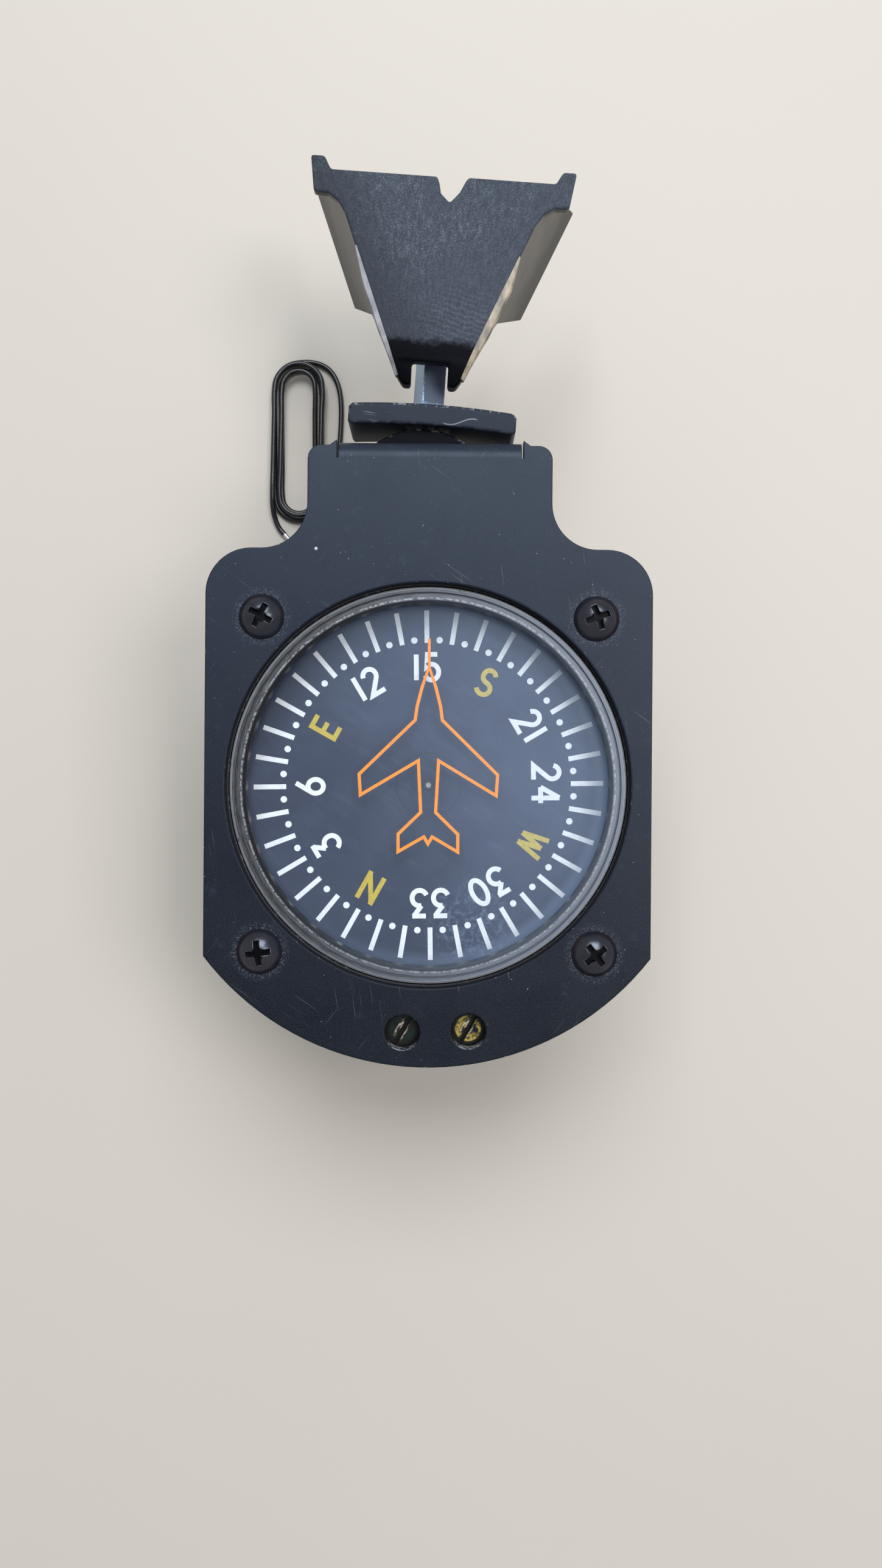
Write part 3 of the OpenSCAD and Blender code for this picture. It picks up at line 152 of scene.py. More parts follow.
# Node materials
class Paint:
    """A material: its Principled shader, and short calls that build the nodes behind it.

    In the functions below, p is the material at hand. A noise has a scale per mm, a detail, a roughness and
    a shift that sets it apart from the others. A ramp goes smoothly from 0 at low to 1 at high.
    """

    def __init__(self, name, colour, rough, **sockets):
        self.mat = bpy.data.materials.new(name)
        self.mat.use_nodes = True
        self.tree = self.mat.node_tree
        self.shader = self.tree.nodes["Principled BSDF"]
        self.use(Base_Color=(*colour, 1), Roughness=rough, **sockets)
        metres = self.node("ShaderNodeTexCoord").outputs["Object"]
        self.place = self.vec("MULTIPLY", metres, (1 / MM, 1 / MM, 1 / MM))
        self.x, self.y, self.z = self.split(self.place)

    def use(self, **sockets):
        """Values or nodes for inputs of the shader, with _ for a space in their names."""
        for key, value in sockets.items():
            self.feed(self.shader.inputs[key.replace("_", " ")], value)

    def feed(self, socket, value):
        if isinstance(value, bpy.types.NodeSocket):
            self.tree.links.new(value, socket)
        else:
            socket.default_value = value

    def node(self, kind, inputs=None, **settings):
        made = self.tree.nodes.new(kind)
        for key, value in settings.items():
            setattr(made, key, value)
        for key, value in (inputs or {}).items():
            self.feed(made.inputs[key], value)
        return made

    def math(self, op, a, b=0.0, c=0.0):
        return self.node("ShaderNodeMath", {0: a, 1: b, 2: c}, operation=op).outputs[0]

    def vec(self, op, a, b=(0, 0, 0), out=0):
        return self.node("ShaderNodeVectorMath", {0: a, 1: b}, operation=op).outputs[out]

    def split(self, vector):
        return self.node("ShaderNodeSeparateXYZ", {0: vector}).outputs

    def pair(self, a, b):
        return self.node("ShaderNodeCombineXYZ", {0: a, 1: b}).outputs[0]

    def ramp(self, value, low, high, to_low=0.0, to_high=1.0):
        sockets = {"Value": value, "From Min": low, "From Max": high, "To Min": to_low, "To Max": to_high}
        return self.node("ShaderNodeMapRange", sockets, interpolation_type="SMOOTHSTEP").outputs[0]

    def noise_at(self, at, per_mm, detail, rough):
        sockets = {"Vector": at, "Scale": per_mm, "Detail": detail, "Roughness": rough}
        return self.node("ShaderNodeTexNoise", sockets).outputs[0]

    def noise(self, per_mm, detail, rough, stretch=(1, 1, 1), turn=0.0, shift=0.0):
        sockets = {"Vector": self.place, "Location": (shift, shift, shift),
                   "Rotation": (0, 0, math.radians(turn))}
        at = self.vec("MULTIPLY", self.node("ShaderNodeMapping", sockets).outputs[0], stretch)
        return self.noise_at(at, per_mm, detail, rough)

    def spots(self, low, high, per_mm, detail, rough, shift=0.0):
        """A noise cut to patches: the higher low and high, the fewer."""
        return self.ramp(self.noise(per_mm, detail, rough, shift=shift), low, high)

    def spread(self, noise, least, most):
        """A noise spread over a range of values."""
        return self.ramp(noise, 0.3, 0.7, least, most)

    def both(self, a, b):
        return self.math("MULTIPLY", a, b)

    def either(self, a, b):
        return self.math("MAXIMUM", a, b)

    def mix(self, share, a, b):
        """Colours: a where share is 0, b where it is 1."""
        a, b = [(*c, 1) if isinstance(c, tuple) and len(c) == 3 else c for c in (a, b)]
        return self.node("ShaderNodeMix", {0: share, 6: a, 7: b}, data_type="RGBA").outputs[2]

    def blend(self, share, a, b):
        return self.node("ShaderNodeMix", {0: share, 2: a, 3: b}, data_type="FLOAT").outputs[0]

    def off(self, value, middle):
        """How far a value is from a middle one, to either side."""
        return self.math("ABSOLUTE", self.math("SUBTRACT", value, middle))

    def towards(self, way):
        """Distance along a direction, from the origin."""
        return self.vec("DOT_PRODUCT", self.place, way, out=1)

    def away(self, at):
        """Distance from a point."""
        return self.vec("LENGTH", self.vec("SUBTRACT", self.place, at), out=1)

    def radius(self, at=(0, 0)):
        """Distance from an upright axis."""
        level = self.vec("MULTIPLY", self.place, (1, 1, 0))
        return self.vec("LENGTH", self.vec("SUBTRACT", level, (*at, 0)), out=1)

    def from_screw(self):
        """Distance from the axis of the nearest of the four face screws."""
        corner = self.pair(self.math("ABSOLUTE", self.x), self.math("ABSOLUTE", self.y))
        return self.vec("LENGTH", self.vec("SUBTRACT", corner, (SCREW_AT, SCREW_AT, 0)), out=1)

    def edges(self, width):
        """Above 0 along sharp edges, by how far a rounded normal leans. Keeps that normal in round."""
        self.round = self.node("ShaderNodeBevel", {"Radius": width * MM}, samples=6).outputs[0]
        plain = self.node("ShaderNodeNewGeometry").outputs["Normal"]
        return self.math("SUBTRACT", 1.0, self.vec("DOT_PRODUCT", self.round, plain, out=1))

    def chips(self, edge, least, most, spots):
        """Spots kept to the edges: none where edge is below least, all where it is above most."""
        return self.both(self.ramp(edge, least, most), spots)

    def scratches(self, turn, amount, per_mm=1.0, shift=0.0):
        """Fine straight marks in one direction, thinned out by a slow noise."""
        lines = self.noise(per_mm, 1, 0.5, (0.07, 5, 1), turn, shift)
        patch = self.noise(0.06, 1, 0.5, shift=shift + 31)
        return self.both(self.ramp(lines, 0.70, 0.76), self.ramp(patch, 0.62 - amount, 0.70 - amount))

    def bump(self, height, depth, strength, on=None):
        sockets = {"Height": height, "Distance": depth * MM, "Strength": strength}
        if on is not None:
            sockets["Normal"] = on
        return self.node("ShaderNodeBump", sockets).outputs[0]


def scaled(colour, factor):
    return tuple(factor * c for c in colour)


def face_paint():
    """Satin black plate: lighter and bluer up to the neck by a painted sheen, dusty, scratched, with specks
    and chips of bare metal.
    """
    # deep is the black of the lower edge; the neck colour is a painted sheen of sky light
    deep, neck_sheen = (0.0030, 0.0034, 0.0062), (0.0160, 0.022, 0.037)
    cloudy, grainy = (0.007, 0.009, 0.014), (0.044, 0.054, 0.083)
    dusty, rubbed = (0.15, 0.165, 0.20), (0.05, 0.062, 0.095)
    scratched, bare_metal = (0.20, 0.21, 0.24), (0.50, 0.51, 0.53)
    sheen_low, sheen_high = -50.0, 68.0
    dust_r, head_r = 6.2, 4.3
    deep_chip, chip_out, chip_in = (-21.3, 44.3, PLATE_FRONT), 0.36, 0.22
    p = Paint("satin_face_paint", (0.012, 0.016, 0.030), 0.4,
              Specular_IOR_Level=0.26, Specular_Tint=(0.77, 0.87, 1.0, 1))
    edge = p.edges(0.45)
    cloud = p.noise(0.07, 3, 0.6)
    grain = p.noise(7, 2, 0.6)
    # Painted sheen: the paint turns lighter and bluer up to the neck, for the sky reflected there, and
    # stays deep black at the lower edge
    colour = p.mix(p.ramp(p.y, sheen_low, sheen_high), deep, neck_sheen)
    colour = p.mix(p.both(cloud, 0.5), colour, cloudy)
    colour = p.mix(p.both(p.ramp(grain, 0.50, 0.68), 0.60), colour, grainy)
    # Dust round the screw heads, rubbed patches and scratches
    ring = p.both(p.ramp(p.from_screw(), dust_r, head_r), p.spots(0.50, 0.64, 2.8, 3, 0.7, 19))
    colour = p.mix(p.both(ring, 0.45), colour, dusty)
    colour = p.mix(p.both(p.spots(0.60, 0.74, 0.35, 4, 0.65, 7), 0.18), colour, rubbed)
    marks = p.either(p.scratches(-52, 0.05, shift=13), p.scratches(82, 0.03, shift=41))
    marks = p.either(p.scratches(35, 0.06), marks)
    colour = p.mix(p.both(marks, 0.45), colour, scratched)
    specks = p.both(p.spots(0.80, 0.83, 1.9, 1, 0.5, 3), 0.7)
    bare = p.either(specks, p.chips(edge, 0.10, 0.30, p.spots(0.63, 0.68, 0.9, 3, 0.7, 21)))
    # Paint rubbed off the lower wall of the two compensator holes
    for at in (NORTH_AT, EAST_AT):
        wall = p.math("LESS_THAN", p.radius(at), HOLE_R)
        low = p.both(p.ramp(p.y, at[1] - 1.7, at[1] - 2.8), p.spots(0.38, 0.60, 1.2, 3, 0.7, 16))
        bare = p.either(bare, p.both(p.both(wall, low), 0.55))
    # One deep chip beside the neck
    bare = p.either(bare, p.ramp(p.away(deep_chip), chip_out, chip_in))
    colour = p.mix(bare, colour, bare_metal)
    rough = p.math("ADD", p.spread(cloud, 0.32, 0.44), p.both(marks, -0.08))
    p.use(Base_Color=colour, Roughness=rough, Normal=p.bump(grain, 0.03, 0.35, p.round))
    return p.mat


def cast_paint():
    """Black case with the skin of a casting, scratched and chipped."""
    dark, light = (0.009, 0.009, 0.011), (0.022, 0.022, 0.026)
    scratched, chipped = (0.16, 0.16, 0.17), (0.36, 0.36, 0.37)
    p = Paint("cast_case_paint", (0.014, 0.014, 0.016), 0.5, Specular_IOR_Level=0.35)
    edge = p.edges(0.4)
    skin = p.noise(2.2, 4, 0.65)
    colour = p.mix(p.noise(0.08, 3, 0.6, shift=5), dark, light)
    marks = p.either(p.scratches(20, 0.05, 0.7), p.scratches(70, 0.05, 0.7, 19))
    colour = p.mix(p.both(marks, 0.4), colour, scratched)
    colour = p.mix(p.chips(edge, 0.10, 0.30, p.spots(0.57, 0.64, 0.8, 3, 0.7, 17)), colour, chipped)
    p.use(Base_Color=colour, Roughness=p.spread(skin, 0.42, 0.6), Normal=p.bump(skin, 0.06, 0.5, p.round))
    return p.mat


def bracket_paint(name, dark, light, chipped, shine):
    """Paint of the saddle and the clamp: chipped edges, and one long scratch winding across the front."""
    bare_metal = (0.62, 0.64, 0.67)
    rear_z, front_z = 43.0, 45.0
    scratch_x, scratch_y, scratch_half = 5.65, 69.9, 3.5
    wave_per_mm, wave_start, wave_h = 0.75, 1.875, 0.55
    p = Paint(name, light, 0.42, Specular_IOR_Level=shine, Specular_Tint=(0.8, 0.9, 1.0, 1))
    edge = p.edges(0.8)
    grain = p.noise(5, 2, 0.6)
    colour = p.mix(p.noise(0.15, 3, 0.6), dark, light)
    colour = p.mix(p.both(p.ramp(grain, 0.5, 0.75), 0.3), colour, scaled(light, 2.6))
    # Most chips are on front edges that face up the plate
    upward = p.ramp(p.split(p.round)[1], -0.05, 0.10, 0.12, 1.0)
    upward = p.both(upward, p.ramp(p.z, rear_z, front_z, 0.12, 1.0))
    chips = p.both(p.chips(edge, 0.02, 0.07, p.spots(0.52, 0.58, 0.8, 4, 0.7, 9)), upward)
    wave = p.math("SINE", p.math("MULTIPLY_ADD", p.x, wave_per_mm, wave_start))
    line = p.math("MULTIPLY_ADD", wave, wave_h, scratch_y)
    winding = p.ramp(p.off(p.y, line), 0.17, 0.06)
    winding = p.both(winding, p.ramp(p.off(p.x, scratch_x), scratch_half, scratch_half - 0.6))
    winding = p.both(winding, p.math("GREATER_THAN", p.z, front_z))
    marks = p.either(p.scratches(8, 0.02), p.scratches(-70, 0.02, shift=27))
    marks = p.either(marks, winding)
    bare = p.both(p.either(chips, p.both(marks, 0.30)), chipped)
    p.use(Base_Color=p.mix(bare, colour, bare_metal), Roughness=p.spread(grain, 0.36, 0.5),
          Normal=p.bump(grain, 0.02, 0.3, p.round))
    return p.mat


def post_paint():
    """Post: its left faces and its foot are rubbed to bare metal, and paint and bare metal are both tinted
    blue by a painted reflection of the sky.
    """
    # Painted reflection: the paint is a light blue-grey and the bare metal sky blue, for the sky they
    # reflect
    paint, dark_metal_sky_sheen, light_metal_sky_sheen = (0.080, 0.103, 0.152), (0.22, 0.32, 0.47), (0.42, 0.55, 0.76)
    axis_x, axis_y, axis_slope = -1.9, 54.0, 0.06467
    foot_y = 75.0
    p = Paint("worn_post_paint", (0.02, 0.021, 0.025), 0.36, Specular_IOR_Level=0.35)
    edge = p.edges(0.5)
    grain = p.noise(4, 3, 0.6, (1, 0.25, 1))
    axis = p.math("MULTIPLY_ADD", p.math("SUBTRACT", p.y, axis_y), axis_slope, axis_x)
    ragged = p.both(p.math("SUBTRACT", p.noise(0.8, 3, 0.6, shift=4), 0.5), 1.4)
    left = p.ramp(p.math("ADD", p.math("SUBTRACT", p.x, axis), ragged), -0.9, -1.2)
    foot = p.ramp(p.math("ADD", p.y, ragged), foot_y, foot_y - 0.5)
    chips = p.chips(edge, 0.06, 0.2, p.spots(0.46, 0.53, 1.2, 3, 0.7, 8))
    bare = p.either(p.either(left, foot), chips)
    p.use(Base_Color=p.mix(bare, paint, p.mix(grain, dark_metal_sky_sheen, light_metal_sky_sheen)),
          Roughness=p.blend(bare, 0.42, 0.32), Metallic=p.both(bare, 0.6),
          Normal=p.bump(grain, 0.03, 0.35, p.round))
    return p.mat


def shoe_black():
    """Shoe: a front sanded in strokes that fan out from the post, a lip in painted shade, and smooth sides
    with a painted sheen and painted shade.
    """
    low_skin, high_skin, scuffed = (0.034, 0.041, 0.055), (0.062, 0.075, 0.103), (0.24, 0.27, 0.32)
    shaded, lip_shade_black, chipped = (0.012, 0.014, 0.020), (0.006, 0.006, 0.008), (0.30, 0.30, 0.31)
    rear_side_shade, front_side_sheen, low_side_shade = (0.010, 0.008, 0.006), (0.120, 0.113, 0.106), (0.010, 0.010, 0.011)
    up_x, up_y, pivot_up = 0.0645, 0.998, 90.75
    fan_at, rows_at = (-1.0, 60.0), (5.0, 87.0)
    p = Paint("shoe_casting", (0.02, 0.02, 0.024), 0.6, Specular_IOR_Level=0.25)
    edge = p.edges(0.5)
    front = p.ramp(p.z, SHOE_FRONT - 0.7, SHOE_FRONT - 0.25)
    # Height along the leaning shoe, from its pivot
    up = p.math("MULTIPLY_ADD", p.x, up_x, p.math("MULTIPLY_ADD", p.y, up_y, -pivot_up))
    # The skin of the front: strokes, fibres, and fine rows in its lower right
    fan = p.split(p.vec("SUBTRACT", p.place, (*fan_at, 0)))
    angle = p.math("ARCTAN2", fan[0], fan[1])
    wave = p.both(p.noise(0.25, 2, 0.5, shift=2), 2.6)
    lines = p.pair(p.math("ADD", p.both(angle, 62.0), wave), p.both(p.radius(fan_at), 0.42))
    strokes = p.noise_at(lines, 1.0, 4, 0.7)
    fibre = p.noise(3.4, 4, 0.75, shift=12)
    skin = p.math("ADD", p.both(strokes, 0.34), p.both(fibre, 0.66))
    rows = p.math("ADD", p.towards((1.9, 5.9, 0)), p.both(p.noise(0.6, 2, 0.5, shift=3), 9.0))
    rows = p.both(p.math("SINE", rows), p.ramp(p.radius(rows_at), 10.0, 4.0))
    skin = p.math("ADD", skin, p.both(rows, 0.045))
    # It is scuffed pale high up, has painted shade to the lower left, and painted shade on the lip, which
    # is made near black
    scuff = p.both(p.spots(0.42, 0.62, 0.10, 3, 0.6, 15), p.ramp(up, 1.0, 12.0, 0.2, 1.0))
    pale = p.both(p.ramp(skin, 0.50, 0.62), p.math("ADD", p.both(scuff, 0.34), 0.06))
    sanded = p.mix(p.ramp(skin, 0.38, 0.60), low_skin, high_skin)
    sanded = p.mix(pale, sanded, scuffed)
    low_left_shade = p.ramp(p.towards((-0.9, -0.45, 0)), -44.0, -32.0)
    sanded = p.mix(p.both(low_left_shade, 0.5), sanded, shaded)
    lip = p.ramp(p.math("ADD", up, p.both(p.noise(0.5, 3, 0.6, shift=5), 3.0)), -4.2, -6.2)
    sanded = p.mix(p.both(lip, 0.94), sanded, lip_shade_black)
    # Painted reflection and shade on the sides: a light sheen near the front with a hazy edge, and painted
    # shade towards the rear and below
    haze = p.noise(0.22, 3, 0.6, (1, 0.25, 1), shift=6)
    near = p.math("ADD", p.z, p.both(p.math("SUBTRACT", haze, 0.5), 14.0))
    side = p.mix(p.ramp(near, 27.0, 45.0), rear_side_shade, front_side_sheen)
    side = p.mix(p.ramp(up, 0.0, -8.0), side, low_side_shade)
    chips = p.chips(edge, 0.08, 0.26, p.spots(0.62, 0.68, 0.8, 3, 0.7, 23))
    colour = p.mix(p.both(chips, 0.6), p.mix(p.either(front, lip), side, sanded), chipped)
    coarse = p.bump(skin, 0.22, 0.7, p.round)
    fine = p.bump(haze, 0.03, 0.3, p.round)
    normal = p.node("ShaderNodeMix", {0: front, 4: fine, 5: coarse}, data_type="VECTOR").outputs[1]
    # The lip is made a black metal, so that it reflects almost nothing: painted shade
    p.use(Base_Color=colour, Metallic=p.both(lip, 0.9), Roughness=p.blend(front, 0.42, 0.68),
          Normal=normal)
    return p.mat


def strip_metal(name, dark, light):
    p = Paint(name, light, 0.38)
    grain = p.noise(1.2, 4, 0.6, (1, 0.2, 1))
    stain = p.ramp(p.noise(0.4, 3, 0.6, (1, 0.5, 1), shift=3), 0.35, 0.65)
    p.use(Base_Color=p.mix(stain, dark, light), Roughness=p.spread(grain, 0.3, 0.46),
          Normal=p.bump(grain, 0.04, 0.4))
    return p.mat


def oxide_steel():
    """Face screws: black oxide, worn at the edges, with grime and painted shade in and round the cross
    recess.
    """
    blue_black, brown_black = (0.005, 0.005, 0.009), (0.015, 0.010, 0.013)
    grime_and_shade, worn_metal = (0.006, 0.006, 0.007), (0.30, 0.29, 0.30)
    hollow_r, recess_r, recess_z = 1.30, 2.5, 53.6
    p = Paint("black_oxide", (0.009, 0.008, 0.012), 0.3,
              Specular_IOR_Level=0.9, Specular_Tint=(0.78, 0.86, 1.0, 1))
    edge = p.edges(0.25)
    grain = p.noise(6, 3, 0.6)
    tint = p.mix(p.spots(0.35, 0.65, 0.35, 2, 0.5), blue_black, brown_black)
    reach = p.from_screw()
    wobble = p.both(p.math("SUBTRACT", p.noise(0.9, 2, 0.5, shift=13), 0.5), 1.6)
    # Grime and painted shade: a dark patch wider than the cross recess, and the recess itself made a black
    # metal that reflects almost nothing
    hollow_shade = p.ramp(p.math("ADD", reach, wobble), hollow_r, hollow_r - 0.3)
    recess = p.both(p.ramp(p.z, recess_z, recess_z - 0.3), p.ramp(reach, recess_r, recess_r - 0.2))
    grime_and_shade_mask = p.either(hollow_shade, recess)
    tint = p.mix(grime_and_shade_mask, tint, grime_and_shade)
    worn = p.chips(edge, 0.12, 0.34, p.spots(0.50, 0.58, 1.6, 3, 0.7, 6))
    p.use(Base_Color=p.mix(p.both(worn, 0.7), tint, worn_metal), Metallic=p.both(grime_and_shade_mask, 0.95),
          Roughness=p.blend(grime_and_shade_mask, p.spread(grain, 0.18, 0.30), 0.4),
          Normal=p.bump(grain, 0.015, 0.3, p.round))
    return p.mat


def metal(name, dark, light, rough=0.3, metallic=0.9, streak=(1, 1, 6), spots=(0.1, 0.09, 0.08)):
    """Turned metal with fine streaks and tarnished spots."""
    p = Paint(name, light, rough, Metallic=metallic)
    grain = p.noise(3, 3, 0.6, streak)
    tarnish = p.spots(0.58, 0.75, 0.5, 4, 0.65, 11)
    p.use(Base_Color=p.mix(p.both(tarnish, 0.55), p.mix(grain, dark, light), spots),
          Roughness=p.spread(grain, rough - 0.08, rough + 0.1), Normal=p.bump(grain, 0.01, 0.3))
    return p.mat


def ring_metal():
    """Retaining ring: lathe streaks, bright rim, dark groove, bright inner line, and an inner strip of
    painted shadow that turns to a painted sheen towards the right.
    """
    rim_r, groove_r, line_r, strip_r = 37.1, 36.4, 35.4, 35.2
    dark, light = (0.026, 0.027, 0.030), (0.085, 0.088, 0.096)
    dust, pits, groove_black = (0.20, 0.235, 0.30), (0.15, 0.16, 0.18), (0.014, 0.014, 0.016)
    rim_metal, line_metal = (0.46, 0.48, 0.51), (0.36, 0.37, 0.39)
    strip_shadow, strip_sheen = (0.008, 0.009, 0.012), (0.075, 0.090, 0.120)
    p = Paint("worn_ring", (0.10, 0.09, 0.08), 0.45, Metallic=0.25)
    r = p.radius()
    turn = p.math("ARCTAN2", p.y, p.x)
    wear = p.noise(0.8, 4, 0.7)
    fine = p.noise(3, 3, 0.7, shift=5)
    streak = p.noise_at(p.pair(p.both(turn, 14.0), p.both(r, 5.0)), 1.0, 3, 0.5)
    colour = p.mix(p.ramp(streak, 0.35, 0.65), dark, light)
    # Dust and a painted sheen lie thicker towards the right
    dusty = p.ramp(p.towards((0.95, -0.2, 0)), -30.0, 26.0)
    colour = p.mix(p.both(dusty, 0.62), colour, dust)
    colour = p.mix(p.both(p.ramp(fine, 0.54, 0.70), 0.4), colour, pits)
    groove = p.ramp(p.off(r, groove_r), 0.28, 0.16)
    colour = p.mix(p.both(groove, 0.40), colour, groove_black)
    rim = p.both(p.ramp(r, rim_r, rim_r + 0.1), p.ramp(wear, 0.26, 0.42))
    colour = p.mix(p.both(rim, 0.85), colour, rim_metal)
    line = p.both(p.ramp(p.off(r, line_r), 0.24, 0.14), p.spots(0.42, 0.56, 1.6, 3, 0.7, 5))
    colour = p.mix(p.both(line, 0.8), colour, line_metal)
    # Painted shadow on the inner strip, lightened towards the right by a painted sheen
    colour = p.mix(p.ramp(r, strip_r, strip_r - 0.2), colour, p.mix(dusty, strip_shadow, strip_sheen))
    height = p.math("ADD", p.both(streak, 0.5), p.both(fine, 0.5))
    p.use(Base_Color=colour, Roughness=p.spread(wear, 0.34, 0.52), Normal=p.bump(height, 0.06, 0.6))
    return p.mat


def card_paint():
    """Slate blue card with a dark line round its hub, and specks of dust."""
    dark, light = (0.022, 0.032, 0.066), (0.030, 0.043, 0.086)
    hub_black, dusty = (0.012, 0.013, 0.018), (0.16, 0.17, 0.20)
    hub_r = 6.3
    p = Paint("card_slate", (0.026, 0.038, 0.076), 0.7, Specular_IOR_Level=0.3)
    fine = p.noise(5, 2, 0.6)
    colour = p.mix(p.noise(0.12, 2, 0.5), dark, light)
    hub = p.ramp(p.off(p.radius(), hub_r), 0.22, 0.05)
    colour = p.mix(p.both(hub, 0.5), colour, hub_black)
    dust = p.both(p.spots(0.71, 0.77, 2.5, 2, 0.5, 8), 0.4)
    p.use(Base_Color=p.mix(dust, colour, dusty), Roughness=p.spread(fine, 0.62, 0.78),
          Normal=p.bump(fine, 0.01, 0.3))
    return p.mat


def print_ink(name, colour, thin):
    p = Paint(name, colour, 0.5)
    patch = p.noise(1.6, 3, 0.6)
    p.use(Base_Color=p.mix(p.ramp(patch, 0.40, 0.75), colour, thin), Roughness=p.spread(patch, 0.45, 0.6),
          Normal=p.bump(patch, 0.01, 0.2))
    return p.mat


def arbor_steel():
    """Card arbor: steel, its front end blackened round a bright middle."""
    dark, light, blackened = (0.42, 0.42, 0.43), (0.62, 0.62, 0.63), (0.025, 0.028, 0.034)
    end_z, middle_r = 41.2, 0.42
    p = Paint("arbor_steel", (0.55, 0.55, 0.56), 0.3, Metallic=0.8)
    grain = p.noise(4, 3, 0.6, (1, 1, 5))
    end = p.both(p.ramp(p.z, end_z, end_z + 0.2), p.ramp(p.radius(), middle_r, middle_r + 0.13))
    p.use(Base_Color=p.mix(end, p.mix(grain, dark, light), blackened), Metallic=p.blend(end, 0.8, 0.1),
          Roughness=p.blend(end, 0.3, 0.6), Normal=p.bump(grain, 0.01, 0.3))
    return p.mat


def comp_head(name, at, paint, worn, dot_at, dot_r):
    """A painted screw head: slot in painted shade, paint scraped to bronze beside it, black rim and one
    black dot.
    """
    slot_shade_black, flake_black = (0.006, 0.005, 0.005), (0.008, 0.008, 0.008)
    rim_black, dot_black = (0.006, 0.006, 0.006), (0.005, 0.005, 0.005)
    dark_bronze, light_bronze = (0.07, 0.055, 0.035), (0.58, 0.51, 0.40)
    rim_r, scrape_left, scrape_right = 2.3, -0.80, 0.68
    p = Paint(name, paint, 0.34, Specular_IOR_Level=0.25)
    grain = p.noise(3, 3, 0.6)
    head = p.ramp(p.z, HEAD_Z - 0.05, HEAD_Z + 0.05)
    # Places across and along the slot
    centred = p.vec("SUBTRACT", p.place, (*at, 0))
    across = p.vec("DOT_PRODUCT", centred, (math.sin(SLOT_TURN), -math.cos(SLOT_TURN), 0), out=1)
    along = p.vec("DOT_PRODUCT", centred, (math.cos(SLOT_TURN), math.sin(SLOT_TURN), 0), out=1)
    smear = p.noise_at(p.pair(p.both(across, 2.2), p.both(along, 0.7)), 1.0, 3, 0.6)
    left = p.ramp(p.off(across, scrape_left), 0.52, 0.25)
    right = p.both(p.ramp(p.off(across, scrape_right), 0.24, 0.10), 0.5)
    scraped = p.both(p.either(left, right), p.ramp(smear, 0.40, 0.58))
    scraped = p.both(scraped, p.ramp(p.math("ABSOLUTE", along), 2.1, 1.3))
    beside = p.both(p.ramp(p.math("ABSOLUTE", across), 1.7, 0.9), p.spots(0.42, 0.54, 0.9, 3, 0.6, 21))
    flaked = p.both(p.spots(0.50, 0.56, 0.8, 4, 0.7, 9), worn)
    colour = p.mix(grain, scaled(paint, 0.75), paint)
    colour = p.mix(p.either(flaked, beside), colour, flake_black)
    colour = p.mix(p.ramp(p.radius(at), rim_r, rim_r + 0.25), colour, rim_black)
    colour = p.mix(scraped, colour, p.mix(p.ramp(smear, 0.46, 0.62), dark_bronze, light_bronze))
    colour = p.mix(p.ramp(p.radius(dot_at), dot_r + 0.1, dot_r - 0.1), colour, dot_black)
    height = p.math("SUBTRACT", smear, scraped)
    # Everything below the front of the head, the slot too, is near black: painted shade
    p.use(Base_Color=p.mix(head, slot_shade_black, colour), Metallic=p.both(p.both(scraped, head), 0.5),
          Roughness=p.spread(grain, 0.26, 0.42), Normal=p.bump(height, 0.08, 0.6))
    return p.mat


def rubber(name, colour, rough):
    p = Paint(name, colour, rough)
    skin = p.noise(4, 3, 0.6)
    p.use(Base_Color=p.mix(p.noise(0.4, 2, 0.5), colour, scaled(colour, 2.0)),
          Roughness=p.spread(skin, rough - 0.08, rough + 0.12), Normal=p.bump(skin, 0.02, 0.4))
    return p.mat


